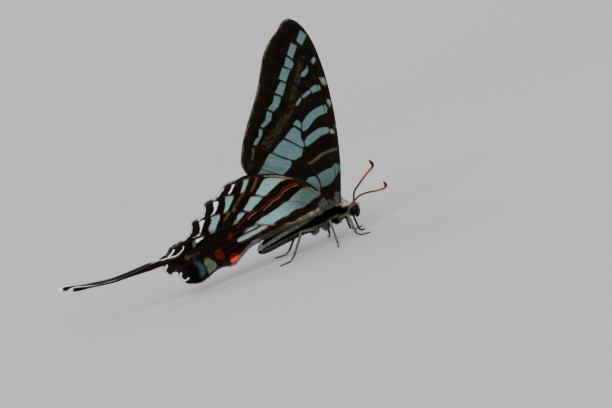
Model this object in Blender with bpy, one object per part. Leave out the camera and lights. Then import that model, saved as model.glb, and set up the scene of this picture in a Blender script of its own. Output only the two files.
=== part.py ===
# A zebra swallowtail standing with its wings closed, life-size.
# The body and wings are drawn in a side frame in millimetres: u forward, v up, y to its left,
# with the origin at the root of the forewings. The legs are drawn over the floor.
import math

import bmesh
import bpy
from mathutils import Matrix, Vector, geometry

MM = 0.001
GAP = 0.3  # between pieces that touch

# Stance: how the photographed side view is turned to stand on its feet
NOSE_DOWN = math.radians(20)
ROOT_HEIGHT = 9.3

# Wings
WING_THICKNESS = 0.5
VEIN_HALF_WIDTH = 0.3
VEIN_OUTSIDE = 0.16
VEIN_INSIDE = 0.07
WINGS_APART = 0.52  # from the mid plane to a wing near its tip
ROOTS_APART = 1.75  # how much wider the wings stand at their roots
ROOT_REACH = 8.0
LAYER = 1.06  # from a forewing to the hindwing that covers it
OUTLINE_STEP = 1.1
LOBE_STEP = 0.8
VEIN_STEP = 1.9
MESH_STEP = 3.4
RIM_CLEAR = 1.0
VEIN_CLEAR = 0.9

FOREWING_COSTA = [(0.8, -0.9), (0.8, 3.0), (0.75, 8.0), (0.1, 14.8), (-1.1, 21.8), (-2.9, 28.8),
                  (-5.2, 34.9), (-7.2, 38.3), (-8.7, 39.9), (-9.9, 40.75), (-11.0, 41.0)]
FOREWING_OUTER = [(-11.0, 41.0), (-12.3, 40.4), (-13.0, 39.4), (-13.5, 38.3), (-14.7, 36.8),
                  (-16.0, 34.6), (-16.9, 32.0), (-17.4, 28.9), (-18.0, 25.4), (-19.1, 21.2),
                  (-20.4, 16.9), (-21.4, 12.8), (-21.8, 8.4), (-20.7, 5.8)]
FOREWING_INNER = [(-20.7, 5.8), (-14.0, 2.7), (-7.0, 0.6), (-3.0, -0.5), (-0.8, -1.4), (0.8, -0.9)]

FOREWING_VEINS = {
    "subcosta": [(0.2, -0.3), (0.1, 8.0), (-0.7, 15.0), (-1.4, 21.5)],
    "radius": [(-0.1, -0.3), (-0.7, 8.0), (-1.8, 15.6), (-3.0, 20.6), (-4.2, 24.6), (-5.3, 28.4),
               (-6.8, 32.4), (-8.6, 34.9), (-10.0, 35.9), (-13.1, 38.4)],
    "radius_1": [(-1.75, 15.0), (-2.2, 19.5), (-2.55, 22.5), (-2.3, 25.0)],
    "radius_2": [(-3.0, 20.6), (-3.7, 25.4), (-4.0, 28.6), (-4.3, 31.5), (-5.0, 33.9)],
    "radius_3": [(-4.0, 28.6), (-4.6, 30.6), (-5.2, 33.4), (-6.1, 36.0), (-7.0, 37.5), (-8.7, 38.8),
                 (-10.8, 40.5)],
    "radius_5": [(-4.6, 26.0), (-6.4, 29.4), (-8.0, 30.8), (-10.3, 31.9), (-11.6, 32.8), (-15.0, 35.7)],
    "media_1": [(-5.0, 22.9), (-6.1, 24.7), (-6.9, 25.8), (-8.6, 28.0), (-10.6, 29.6), (-12.4, 30.25),
                (-16.6, 32.4)],
    "media_2": [(-7.3, 21.4), (-8.15, 23.1), (-9.8, 24.9), (-11.75, 26.5), (-13.2, 27.2), (-17.3, 28.8)],
    "media_3": [(-8.1, 19.0), (-9.9, 21.2), (-12.6, 23.4), (-14.4, 24.1), (-17.9, 25.4)],
    "cubitus": [(-0.6, -0.5), (-2.9, 1.3), (-3.9, 3.0), (-4.3, 4.5), (-5.3, 6.4), (-6.6, 8.4), (-7.6, 11.7),
                (-7.6, 12.8), (-8.2, 14.3), (-8.2, 15.8), (-8.1, 19.0), (-7.3, 21.4), (-5.0, 22.9),
                (-3.9, 23.6)],
    "cubitus_1": [(-8.2, 15.8), (-10.2, 16.85), (-14.8, 19.8), (-16.0, 20.45), (-19.0, 21.4)],
    "cubitus_2": [(-7.6, 11.6), (-9.0, 12.2), (-10.2, 12.85), (-12.2, 13.9), (-17.0, 16.15), (-20.3, 17.3)],
    "cubitus_3": [(-6.6, 8.4), (-9.0, 8.5), (-10.6, 8.95), (-12.0, 9.35), (-14.9, 10.55), (-18.9, 12.05),
                  (-21.4, 12.7)],
    "anal": [(-0.8, -0.7), (-7.0, 3.0), (-14.0, 5.9), (-21.7, 8.2)],
}

HINDWING_COSTA = [(-2.2, -0.7), (-3.9, 1.4), (-5.9, 3.2), (-8.4, 4.7), (-12.0, 5.6), (-16.6, 5.9),
                  (-20.9, 5.3), (-23.4, 4.0)]
# The outer edge steps from lobe to lobe down to the tail, and has two more lobes under it.
HINDWING_OUTER = [(-23.4, 4.0), (-25.2, 3.2), (-26.8, 1.8), (-27.9, 0.3), (-30.2, -1.1), (-30.5, -2.4),
                  (-30.7, -3.6), (-33.0, -5.3), (-33.4, -6.3), (-33.5, -7.6), (-35.5, -9.5), (-38.3, -11.2),
                  (-39.0, -12.6), (-39.99, -13.27)]
TAIL_ROOT = (-39.31, -15.03)
HINDWING_LOBES = [(-39.6, -15.8), (-39.2, -16.7), (-38.4, -17.0), (-37.2, -16.2), (-36.4, -16.6),
                  (-36.1, -17.8), (-35.2, -18.6), (-33.8, -19.1), (-31.6, -18.9), (-29.8, -17.8),
                  (-28.1, -16.3), (-26.4, -15.4), (-24.6, -15.1)]
HINDWING_INNER = [(-24.6, -15.1), (-23.2, -14.4), (-21.9, -12.8), (-19.6, -10.2), (-17.6, -9.3),
                  (-15.1, -8.1), (-12.9, -6.9), (-10.2, -5.7), (-8.0, -4.9), (-5.0, -3.6), (-3.2, -2.9),
                  (-2.2, -0.7)]

HINDWING_VEINS = {
    "subcosta": [(-3.0, -1.2), (-5.4, 1.6), (-8.0, 3.5), (-10.6, 4.5), (-13.5, 5.05), (-17.5, 5.2),
                 (-20.6, 4.9), (-22.9, 4.0)],
    "radius": [(-5.4, 1.6), (-8.6, 3.1), (-11.5, 2.9), (-14.5, 1.7), (-17.0, 0.85), (-18.8, 1.15),
               (-21.5, 1.5), (-24.5, 1.05), (-26.6, 0.5), (-28.4, -0.4)],
    "media_1": [(-3.4, -1.7), (-5.4, -1.0), (-7.6, -0.7), (-9.5, -0.4), (-11.2, -0.4), (-14.0, -1.1),
                (-17.4, -2.0), (-20.7, -2.75), (-22.5, -2.65), (-26.6, -3.1), (-29.8, -4.1), (-31.5, -4.6)],
    "media_2": [(-14.0, -1.1), (-17.0, -3.3), (-20.6, -4.7), (-24.0, -5.7), (-28.9, -7.7), (-30.6, -8.1),
                (-33.9, -8.6)],
    "media_3": [(-17.0, -3.3), (-18.8, -5.5), (-20.8, -6.5), (-22.0, -7.2), (-26.0, -9.0), (-33.0, -11.6),
                (-39.4, -14.05)],
    "cubitus": [(-3.4, -2.0), (-8.0, -2.6), (-11.6, -4.0), (-14.7, -5.65), (-16.9, -5.65), (-18.8, -5.5)],
    "cubitus_1": [(-16.9, -5.65), (-18.0, -6.05), (-19.5, -6.8), (-21.2, -7.7), (-24.6, -10.0),
                  (-30.0, -13.2), (-38.6, -16.5)],
    "cubitus_2": [(-14.7, -5.65), (-16.6, -6.7), (-18.6, -7.9), (-22.6, -10.2), (-28.0, -13.9),
                  (-34.2, -18.6)],
    "anal": [(-3.6, -2.3), (-10.0, -5.0), (-17.8, -8.8), (-25.6, -14.9)],
}

# The tail: place, width and twist about its own line, from the wing to the tip
TAIL = [(-39.93, -14.26, 1.9, 0), (-42.8, -15.35, 1.6, 12), (-47.2, -17.05, 1.15, 42),
        (-51.3, -18.5, 1.0, 56), (-56.0, -19.4, 1.0, 48), (-59.1, -19.9, 1.35, 25), (-61.4, -20.2, 1.0, 5)]
TAIL_SWING = {"right": (0.0, -2.2), "left": (-2.6, 2.8)}  # how far the tip moves back and sideways

# Body: place of its middle line, half height and half width
ABDOMEN = [(-18.1, -12.0, 0.75, 0.6), (-17.6, -11.8, 1.15, 1.0), (-16.4, -11.15, 1.5, 1.4),
           (-13.1, -9.1, 1.85, 1.75), (-10.3, -7.5, 2.0, 1.9), (-7.35, -5.75, 2.1, 2.0)]
ABDOMEN_RINGS = 8
RING_GROOVE = 0.09
THORAX = [(-7.1, -5.6, 2.2, 2.1), (-6.0, -4.8, 2.65, 2.4), (-4.3, -3.7, 3.05, 2.7), (-2.1, -2.7, 3.1, 2.75),
          (-0.2, -2.1, 2.75, 2.4), (1.1, -1.9, 2.1, 1.85), (2.1, -1.95, 1.45, 1.3), (2.5, -2.0, 1.2, 1.1)]
HEAD_CENTRE = (3.65, -2.4)
HEAD_RADII = (1.05, 1.35, 1.75)
HEAD_LEAN = math.radians(18)
EYE_OFFSET = (0.42, 1.15, -0.27)
EYE_RADII = (0.95, 0.85, 1.25)

ANTENNA = [(0.0, 0.27), (0.15, 0.26), (0.45, 0.25), (0.72, 0.26), (0.84, 0.33), (0.93, 0.42), (1.0, 0.22)]
ANTENNA_PATHS = {
    "right": [(3.9, -0.6, -0.6), (3.95, -1.4, 1.6), (4.9, -2.6, 3.5), (6.4, -4.6, 6.1), (7.35, -5.6, 7.4),
              (7.4, -6.2, 8.3), (6.5, -6.9, 9.3)],
    "left": [(4.4, 0.6, -0.5), (5.6, 1.4, 0.4), (7.6, 2.8, 0.95), (9.8, 4.4, 1.15), (11.9, 5.9, 1.6),
             (12.45, 6.6, 2.3), (11.9, 7.1, 3.1)],
}

# Legs over the floor, behind (-) or ahead of the thorax's middle: hip, knee, ankle and toe
LEGS = {
    "front": [(1.7, 1.1, 4.7), (3.7, 3.7, 5.3), (4.0, 5.1, 0.95), (6.9, 6.5, 0.18)],
    "middle": [(-1.2, 1.4, 4.3), (-0.7, 5.0, 5.7), (-0.9, 7.1, 0.95), (-1.3, 10.2, 0.18)],
    "hind": [(-4.1, 1.4, 4.3), (-7.7, 3.9, 5.3), (-11.2, 5.3, 0.95), (-14.9, 6.7, 0.18)],
}
FEMUR = (0.5, 0.42, 0.32)
TIBIA = (0.3, 0.27, 0.26)
FOOT = (0.27, 0.26, 0.22)
HIP_RADIUS = 0.75
HIP_HEIGHT = 1.25
HIP_RAISED = 0.4

COLOURS = {
    "scales_dark": (0.035, 0.024, 0.016, 1),
    "body_fur": (0.16, 0.15, 0.12, 1),
    "eye": (0.01, 0.008, 0.008, 1),
    "antenna": (0.20, 0.065, 0.02, 1),
    "leg": (0.03, 0.026, 0.022, 1),
}


def material(name, roughness):
    made = bpy.data.materials.new(name)
    made.use_nodes = True
    shader = made.node_tree.nodes["Principled BSDF"]
    shader.inputs["Base Color"].default_value = COLOURS[name]
    shader.inputs["Roughness"].default_value = roughness
    return made


def smooth(points, steps):
    """Points on a Catmull-Rom curve through the given ones, of any number of values each."""
    ends = [tuple(2 * a - b for a, b in zip(points[0], points[1]))]
    ends += list(points)
    ends.append(tuple(2 * a - b for a, b in zip(points[-1], points[-2])))
    found = []
    for i in range(1, len(ends) - 2):
        p0, p1, p2, p3 = ends[i - 1:i + 3]
        for k in range(steps):
            t = k / steps
            found.append(tuple(
                0.5 * (2 * b + (c - a) * t + (2 * a - 5 * b + 4 * c - d) * t * t
                       + (3 * b - a - 3 * c + d) * t ** 3)
                for a, b, c, d in zip(p0, p1, p2, p3)))
    found.append(tuple(points[-1]))
    return found


def evenly(points, step, measured=3):
    """The same line with a point about every step along its first values, keeping its two ends."""
    lengths = [0.0]
    for a, b in zip(points, points[1:]):
        lengths.append(lengths[-1] + math.dist(a[:measured], b[:measured]))
    count = max(1, round(lengths[-1] / step))
    found, i = [], 0
    for k in range(count + 1):
        at = lengths[-1] * k / count
        while i < len(lengths) - 2 and lengths[i + 1] < at:
            i += 1
        share = (at - lengths[i]) / max(1e-9, lengths[i + 1] - lengths[i])
        found.append(tuple(a + (b - a) * share for a, b in zip(points[i], points[i + 1])))
    return found


def ease(low, high, value):
    t = min(1.0, max(0.0, (value - low) / (high - low)))
    return t * t * (3 - 2 * t)


def new_object(name, mesh, look):
    obj = bpy.data.objects.new(name, mesh)
    bpy.context.scene.collection.objects.link(obj)
    if look:
        obj.data.materials.append(look)
    return obj


def from_bmesh(name, bm, look, is_round=True):
    bmesh.ops.recalc_face_normals(bm, faces=bm.faces)
    mesh = bpy.data.meshes.new(name)
    bm.to_mesh(mesh)
    bm.free()
    if is_round:
        mesh.shade_smooth()
        mesh.set_sharp_from_angle(angle=math.radians(50))
    return new_object(name, mesh, look)


def loft(name, rings, look):
    """A closed skin over rings of the same number of points, with flat ends."""
    bm = bmesh.new()
    loops = [[bm.verts.new(p) for p in ring] for ring in rings]
    for a, b in zip(loops, loops[1:]):
        for i in range(len(a)):
            j = (i + 1) % len(a)
            bm.faces.new((a[i], a[j], b[j], b[i]))
    bm.faces.new(loops[0])
    bm.faces.new(loops[-1])
    return from_bmesh(name, bm, look)


def body_rings(stations, sides, groove=None, grow=0.0):
    """Oval rings square to the middle line of the body."""
    rings = []
    for i, (u, v, high, wide) in enumerate(stations):
        before, after = stations[max(0, i - 1)], stations[min(len(stations) - 1, i + 1)]
        along = Vector((after[0] - before[0], 0, after[1] - before[1])).normalized()
        up = Vector((-along.z, 0, along.x))
        shrink = groove(i) if groove else 0.0
        ring = []
        for k in range(sides):
            a = 2 * math.pi * k / sides
            across = math.cos(a) * (wide - shrink + grow)
            rise = math.sin(a) * (high - shrink + grow)
            ring.append(Vector((u, 0, v)) + Vector((0, across, 0)) + up * rise)
        rings.append(ring)
    return rings


def tube_rings(points, radii, sides, floor=None):
    """Round rings along a line in space. A floor presses the ones that reach it flat."""
    rings = []
    side = None
    for i, p in enumerate(points):
        before, after = points[max(0, i - 1)], points[min(len(points) - 1, i + 1)]
        along = (Vector(after) - Vector(before)).normalized()
        if side is None:
            side = along.cross(Vector((0, 0, 1)) if abs(along.z) < 0.9 else Vector((1, 0, 0))).normalized()
        side = (side - along * side.dot(along)).normalized()
        up = side.cross(along)
        ring = []
        for k in range(sides):
            a = 2 * math.pi * (k + 0.5) / sides
            q = Vector(p) + (side * math.cos(a) + up * math.sin(a)) * radii[i]
            if floor is not None and q.z < floor:
                q.z = floor
            ring.append(q)
        rings.append(ring)
    return rings


def ellipsoid(name, centre, radii, look, lean=0.0, segments=20, rings=12):
    bm = bmesh.new()
    bmesh.ops.create_uvsphere(bm, u_segments=segments, v_segments=rings, radius=1.0)
    place = Matrix.Translation(Vector(centre)) @ Matrix.Rotation(lean, 4, "Y")
    place = place @ Matrix.Diagonal(Vector((*radii, 1)))
    bmesh.ops.transform(bm, matrix=place, verts=bm.verts)
    return from_bmesh(name, bm, look)


def largest_only(mesh):
    """Drops every loose closed surface but the largest."""
    bm = bmesh.new()
    bm.from_mesh(mesh)
    left, groups = set(bm.verts), []
    while left:
        group, todo = set(), [left.pop()]
        while todo:
            v = todo.pop()
            group.add(v)
            for e in v.link_edges:
                w = e.other_vert(v)
                if w in left:
                    left.discard(w)
                    todo.append(w)
        groups.append(group)
    groups.sort(key=len, reverse=True)
    for group in groups[1:]:
        bmesh.ops.delete(bm, geom=list(group), context="VERTS")
    bm.to_mesh(mesh)
    bm.free()


def boolean(obj, others, operation):
    """Joins or cuts with the other objects, which are then removed."""
    helpers = bpy.data.collections.new("helpers")
    bpy.context.scene.collection.children.link(helpers)
    for other in others:
        bpy.context.scene.collection.objects.unlink(other)
        helpers.objects.link(other)
    modifier = obj.modifiers.new(operation.lower(), "BOOLEAN")
    modifier.operation = operation
    modifier.operand_type = "COLLECTION"
    modifier.collection = helpers
    modifier.solver = "EXACT"
    bpy.context.view_layer.update()
    graph = bpy.context.evaluated_depsgraph_get()
    result = bpy.data.meshes.new_from_object(obj.evaluated_get(graph))
    obj.modifiers.clear()
    obj.data = result
    largest_only(result)
    for other in others:
        bpy.data.objects.remove(other)
    bpy.data.collections.remove(helpers)
    return obj


def forewing_outline():
    edges = [evenly(smooth(run, 8), OUTLINE_STEP) for run in (FOREWING_COSTA, FOREWING_OUTER, FOREWING_INNER)]
    return [p for edge in edges for p in edge[:-1]]


def hindwing_outline():
    costa = evenly(smooth(HINDWING_COSTA, 8), OUTLINE_STEP)
    outer = evenly(smooth(HINDWING_OUTER, 8), LOBE_STEP)
    lobes = evenly(smooth(HINDWING_LOBES, 8), LOBE_STEP)
    inner = evenly(smooth(HINDWING_INNER, 8), OUTLINE_STEP)
    return costa[:-1] + outer + [TAIL_ROOT] + lobes[:-1] + inner[:-1]


def forewing_spread(u, v):
    """How far a forewing stands from the mid plane: wide at its root, nearly closed at its tip."""
    return WINGS_APART + ROOTS_APART * math.exp(-math.hypot(u, v) / ROOT_REACH)


def hindwing_spread(u, v):
    """A hindwing lies over the forewing, wraps the top of the abdomen, and closes behind it."""
    out = math.hypot(u, v)
    cover = LAYER * (1 - ease(25, 37, out))
    above_edge = (v + 2.2) * 0.9 - (u + 3.0) * 0.43
    wrap = 0.95 * math.exp(-(above_edge / 2.4) ** 2) * ease(4, 9, out) * (1 - ease(19, 27, out))
    curl = 0.9 * ease(12, 19, -v) * ease(26, 34, out)
    return forewing_spread(u, v) + cover + wrap + curl


def near_line(p, line):
    """Distance from a point to a line of points."""
    best = 1e9
    for a, b in zip(line, line[1:]):
        a, b = Vector(a), Vector(b)
        t = max(0.0, min(1.0, (p - a).dot(b - a) / max(1e-9, (b - a).length_squared)))
        best = min(best, (p - a - (b - a) * t).length)
    return best


def inside(p, outline):
    hit = False
    for a, b in zip(outline, outline[1:] + outline[:1]):
        if (a[1] > p.y) != (b[1] > p.y) and p.x < a[0] + (b[0] - a[0]) * (p.y - a[1]) / (b[1] - a[1]):
            hit = not hit
    return hit


def wing_triangles(outline, veins):
    """Flat triangles of a wing that follow its edge and its veins, with each point's ridge height."""
    points = [Vector(p) for p in outline]
    edges = [(i, (i + 1) % len(points)) for i in range(len(points))]
    lines = [evenly(smooth(v, 6), VEIN_STEP) for v in veins]
    closed = outline + outline[:1]

    def add_line(line):
        first = len(points)
        points.extend(Vector(p) for p in line)
        edges.extend((i, i + 1) for i in range(first, len(points) - 1))

    for line in lines:
        add_line(line)
        for turn in (-1, 1):
            beside = []
            for i, p in enumerate(line):
                way = Vector(line[min(i + 1, len(line) - 1)]) - Vector(line[max(i - 1, 0)])
                q = Vector(p) + Vector((-way.y, way.x)).normalized() * VEIN_HALF_WIDTH * turn
                if inside(q, outline) and near_line(q, closed) > 0.2:
                    beside.append((q.x, q.y))
            if len(beside) > 1:
                add_line(beside)
    low = [min(p[i] for p in outline) for i in (0, 1)]
    high = [max(p[i] for p in outline) for i in (0, 1)]
    row = 0
    y = low[1]
    while y < high[1]:
        x = low[0] + (row % 2) * MESH_STEP / 2
        while x < high[0]:
            p = Vector((x, y))
            clear = inside(p, outline) and near_line(p, closed) > RIM_CLEAR
            if clear and min(near_line(p, n) for n in lines) > VEIN_CLEAR:
                points.append(p)
            x += MESH_STEP
        y += MESH_STEP * 0.87
        row += 1
    flat, _, faces, _, _, _ = geometry.delaunay_2d_cdt(points, edges, [list(range(len(outline)))], 1, 1e-4)
    heights = [max(0.0, 1 - min(near_line(p, n) for n in lines) / VEIN_HALF_WIDTH) for p in flat]
    return flat, faces, heights


def wing(name, side, outline, veins, spread, knob, look):
    """A wing of even thickness with its veins raised on both faces, and a knob at its root."""
    flat, faces, heights = wing_triangles(outline, list(veins.values()))
    bm = bmesh.new()
    half = WING_THICKNESS / 2
    outer, inner = [], []
    for p, high in zip(flat, heights):
        y = spread(p.x, p.y)
        outer.append(bm.verts.new(Vector((p.x, side * (y + half + high * VEIN_OUTSIDE), p.y))))
        inner.append(bm.verts.new(Vector((p.x, side * (y - half - high * VEIN_INSIDE), p.y))))
    uses = {}
    for a, b, c in faces:
        bm.faces.new((outer[a], outer[b], outer[c]))
        bm.faces.new((inner[c], inner[b], inner[a]))
        for i, j in ((a, b), (b, c), (c, a)):
            uses[frozenset((i, j))] = uses.get(frozenset((i, j)), []) + [(i, j)]
    for found in uses.values():
        if len(found) == 1:
            i, j = found[0]
            bm.faces.new((outer[j], outer[i], inner[i], inner[j]))
    for v in [v for v in bm.verts if not v.link_faces]:
        bm.verts.remove(v)
    made = from_bmesh(name, bm, look, is_round=False)
    (u, y, v), radii = knob
    return boolean(made, [ellipsoid("knob", (u, side * y, v), radii, None, segments=14, rings=8)], "UNION")


def tail(name, side, look):
    """The long tail of a hindwing: a ribbon with the vein in its middle, turned about its own line."""
    stations = evenly(smooth(TAIL, 5), 1.5, measured=2)
    back, out = TAIL_SWING[side]
    way = -1 if side == "right" else 1
    start = way * hindwing_spread(*TAIL[0][:2])
    length = len(stations) - 1
    places = []
    for i, (u, v, _, _) in enumerate(stations):
        t = i / length
        aside = start + (out - start) * ease(0.1, 1, t)
        places.append(Vector((u + back * t, aside, v + 0.25 * back * t * t)))
    rings = []
    for i, (_, _, width, twist) in enumerate(stations):
        along = (places[min(i + 1, length)] - places[max(i - 1, 0)]).normalized()
        flat_up = Vector((0, 1, 0)).cross(along).normalized()
        flat_out = along.cross(flat_up)
        turn = math.radians(twist) * way
        across = flat_up * math.cos(turn) + flat_out * math.sin(turn)
        thick = along.cross(across)
        taper = 0.7 if i == length else 1.0
        half, edge, ridge = width / 2 * taper, WING_THICKNESS / 2, WING_THICKNESS / 2 + VEIN_OUTSIDE * 0.6
        corners = [(-half, edge), (-0.3 * half, edge), (0, ridge), (0.3 * half, edge), (half, edge),
                   (half, -edge), (0.3 * half, -edge), (0, -ridge), (-0.3 * half, -edge), (-half, -edge)]
        rings.append([places[i] + across * a + thick * b for a, b in corners])
    return loft(name, rings, look)


def abdomen(look):
    rings = 3 * ABDOMEN_RINGS + 1
    smooth_line = evenly(smooth(ABDOMEN, 6), 0.05, measured=2)
    stations = [smooth_line[round(i * (len(smooth_line) - 1) / (rings - 1))] for i in range(rings)]

    def groove(i):
        return RING_GROOVE if 3 < i < rings - 2 and i % 3 == 0 else 0.0

    return loft("abdomen", body_rings(stations, 22, groove), look)


def thorax(look, hips):
    made = loft("thorax", body_rings(smooth(THORAX, 3), 26), look)
    radii = (HIP_RADIUS, HIP_RADIUS, HIP_HEIGHT)
    joined = [ellipsoid("hip", hip, radii, None, segments=12, rings=8) for hip in hips]
    return boolean(made, joined, "UNION")


def thorax_clearance():
    """The thorax grown by the gap, which cuts what meets it."""
    return loft("thorax_clearance", body_rings(smooth(THORAX, 3), 26, grow=GAP), None)


def head(look):
    u, v = HEAD_CENTRE
    made = ellipsoid("head", (u, 0, v), HEAD_RADII, look, lean=HEAD_LEAN, segments=24, rings=14)
    snout = ellipsoid("snout", (u + 0.2, 0, v - 1.05), (0.65, 0.7, 0.75), None, segments=14, rings=8)
    brow = ellipsoid("brow", (u + 0.62, 0, v + 0.93), (1.0, 0.95, 0.7), None, segments=14, rings=8)
    boolean(made, [snout, brow], "UNION")
    cuts = []
    for way in (-1, 1):
        radii = [r + GAP for r in EYE_RADII]
        cuts.append(ellipsoid("socket", eye_place(way), radii, None, lean=HEAD_LEAN, segments=18, rings=10))
    cuts.append(thorax_clearance())
    return boolean(made, cuts, "DIFFERENCE")


def eye_place(way):
    u, v = HEAD_CENTRE
    return (u + EYE_OFFSET[0], way * EYE_OFFSET[1], v + EYE_OFFSET[2])


def antenna(side, look):
    path = evenly(smooth(ANTENNA_PATHS[side], 8), 0.45)
    last = len(path) - 1
    thickness = smooth(ANTENNA, 6)
    radii = []
    for i in range(last + 1):
        t = i / last
        radii.append(min(thickness, key=lambda s: abs(s[0] - t))[1])
    return loft("antenna_" + side, tube_rings(path, radii, 10), look)


def palp(side, look):
    """A feeler of the face: a furred club that rises in front of the head."""
    way = -1 if side == "right" else 1
    u, v = HEAD_CENTRE
    line = [(u + 1.05, way * 0.42, v - 1.75), (u + 1.4, way * 0.44, v - 1.1), (u + 1.52, way * 0.44, v - 0.4),
            (u + 1.5, way * 0.42, v + 0.1)]
    radii = [0.22, 0.29, 0.27, 0.13]
    path = evenly(smooth(line, 4), 0.3)
    stations = evenly(smooth([(r,) for r in radii], 6), 0.01)
    picked = [stations[round(i * (len(stations) - 1) / (len(path) - 1))][0] for i in range(len(path))]
    return loft("palp_" + side, tube_rings(path, picked, 10), look)


def proboscis(look, pose):
    """The drinking tube, from under the face down to the floor, with a bent tip."""
    u, v = HEAD_CENTRE
    start = pose @ Vector((u + 0.5, 0, v - 2.2))
    line = [start, Vector((start.x + 0.1, 0, 2.1)), Vector((start.x + 0.15, 0, 1.0)),
            Vector((start.x + 0.55, 0, 0.36)), Vector((start.x + 1.5, 0, 0.26))]
    path = evenly(smooth([tuple(p) for p in line], 6), 0.5)
    radii = [0.3 - 0.05 * i / (len(path) - 1) for i in range(len(path))]
    return loft("proboscis", tube_rings(path, radii, 10, floor=0.0), look)


def shortened(a, b, first, last):
    way = (b - a).normalized()
    return a + way * first, b - way * last


def leg(pair, side, middle_x, look):
    """Thigh, shin and foot, each set off from the next by the gap."""
    way = -1 if side == "right" else 1
    hip, knee, ankle, toe = [Vector((x + middle_x, y * way, z)) for x, y, z in LEGS[pair]]
    half = GAP / 2
    start, end = shortened(hip, knee, HIP_RADIUS + GAP, half)
    middle = (start + end) / 2 + Vector((0, 0, 0.12))
    made = [loft(f"leg_{pair}_{side}_femur", tube_rings([start, middle, end], FEMUR, 10), look)]
    start, end = shortened(knee, ankle, half, half)
    middle = (start + end) / 2
    made.append(loft(f"leg_{pair}_{side}_tibia", tube_rings([start, middle, end], TIBIA, 8), look))
    start = shortened(ankle, toe, half, 0)[0]
    landing = Vector((start.x * 0.7 + toe.x * 0.3, start.y * 0.7 + toe.y * 0.3, toe.z))
    line = [start, landing, landing * 0.5 + toe * 0.5, toe]
    rings = tube_rings(line, [FOOT[0], FOOT[0], FOOT[1], FOOT[2]], 8, floor=0.0)
    made.append(loft(f"leg_{pair}_{side}_foot", rings, look))
    return made


def main():
    for obj in list(bpy.data.objects):
        bpy.data.objects.remove(obj)
    scales = material("scales_dark", 0.6)
    fur = material("body_fur", 0.9)
    glossy = material("eye", 0.2)
    horn = material("antenna", 0.5)
    shell = material("leg", 0.5)

    ground = bpy.data.objects.new("ground", None)
    stance = bpy.data.objects.new("stance", None)
    for empty in (ground, stance):
        bpy.context.scene.collection.objects.link(empty)
    stance.parent = ground
    stance.rotation_euler.y = NOSE_DOWN
    stance.location.z = ROOT_HEIGHT * MM
    pose = Matrix.Translation((0, 0, ROOT_HEIGHT)) @ Matrix.Rotation(NOSE_DOWN, 4, "Y")

    thorax_middle = pose @ Vector((-2.1, 0, -2.7))
    hips = []
    for pair in LEGS:
        for way in (-1, 1):
            x, y, z = LEGS[pair][0]
            hips.append(pose.inverted() @ Vector((x + thorax_middle.x, y * way, z + HIP_RAISED)))

    posed = [thorax(fur, hips), abdomen(fur), head(fur)]
    on_floor = [proboscis(shell, pose)]
    for side, way in (("right", -1), ("left", 1)):
        front = wing("forewing_" + side, way, forewing_outline(), FOREWING_VEINS, forewing_spread,
                     ((0.25, 2.0, -0.55), (1.35, 0.75, 1.2)), scales)
        rear = wing("hindwing_" + side, way, hindwing_outline(), HINDWING_VEINS, hindwing_spread,
                    ((-3.3, 2.55, -1.8), (1.4, 0.7, 1.05)), scales)
        for made in (front, rear):
            boolean(made, [thorax_clearance()], "DIFFERENCE")
        posed += [front, rear, tail("tail_" + side, side, scales)]
        posed.append(ellipsoid("eye_" + side, eye_place(way), EYE_RADII, glossy, lean=HEAD_LEAN))
        posed += [antenna(side, horn), palp(side, fur)]
        for pair in LEGS:
            on_floor += leg(pair, side, thorax_middle.x, shell)

    for obj in posed:
        obj.parent = stance
    for obj in on_floor:
        obj.parent = ground
    for obj in posed + on_floor:
        obj.data.transform(Matrix.Scale(MM, 4))
    bpy.context.view_layer.update()
    corners = [obj.matrix_world @ v.co for obj in posed + on_floor for v in obj.data.vertices]
    for axis in (0, 1):
        values = [c[axis] for c in corners]
        ground.location[axis] = -(min(values) + max(values)) / 2


main()
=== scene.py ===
import math

import bmesh
import bpy
import numpy as np
from mathutils import Matrix, Vector, geometry, noise


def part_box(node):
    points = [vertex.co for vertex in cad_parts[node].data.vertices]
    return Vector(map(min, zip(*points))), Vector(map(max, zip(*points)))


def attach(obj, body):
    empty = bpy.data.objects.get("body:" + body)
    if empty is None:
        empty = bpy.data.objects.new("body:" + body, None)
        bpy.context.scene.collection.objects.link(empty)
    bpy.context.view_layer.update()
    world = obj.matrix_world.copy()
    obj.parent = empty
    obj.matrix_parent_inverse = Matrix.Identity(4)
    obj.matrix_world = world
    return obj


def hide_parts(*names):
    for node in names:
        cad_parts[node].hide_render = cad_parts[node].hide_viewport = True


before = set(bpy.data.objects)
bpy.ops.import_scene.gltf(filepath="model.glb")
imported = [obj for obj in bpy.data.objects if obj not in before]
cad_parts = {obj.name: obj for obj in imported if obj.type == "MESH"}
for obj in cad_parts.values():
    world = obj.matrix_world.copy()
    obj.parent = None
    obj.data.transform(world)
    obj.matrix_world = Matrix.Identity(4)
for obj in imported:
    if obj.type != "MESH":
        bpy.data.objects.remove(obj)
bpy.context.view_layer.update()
mm = 0.001

# The animal is drawn in a side frame in mm: u forward, v up, y to its left, from the forewing's root.
# Its legs and drinking tube are drawn over the floor, in mm too.
stance = {"noseDown": 20, "rootHeight": 9.3}
headShape = {"centre": (3.65, 0, -2.4), "radii": (1.05, 1.35, 1.75), "lean": 18,
             "eye": (0.42, 1.15, -0.27), "eyeRadii": (0.95, 0.85, 1.25)}
turn = math.radians(stance["noseDown"])


def turned(points):
    p = np.atleast_2d(np.asarray(points, float))
    x = p[:, 0] * math.cos(turn) + p[:, 2] * math.sin(turn)
    z = -p[:, 0] * math.sin(turn) + p[:, 2] * math.cos(turn) + stance["rootHeight"]
    return np.stack([x, p[:, 1], z], 1) * mm


def eyePlace(side):
    centre, offset = headShape["centre"], headShape["eye"]
    return (centre[0] + offset[0], side * offset[1], centre[2] + offset[2])


low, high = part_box("eye_right")
shift = np.array([*((low + high) / 2)]) - turned([eyePlace(-1)])[0]  # to where the solids stand
shift[2] = 0


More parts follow.
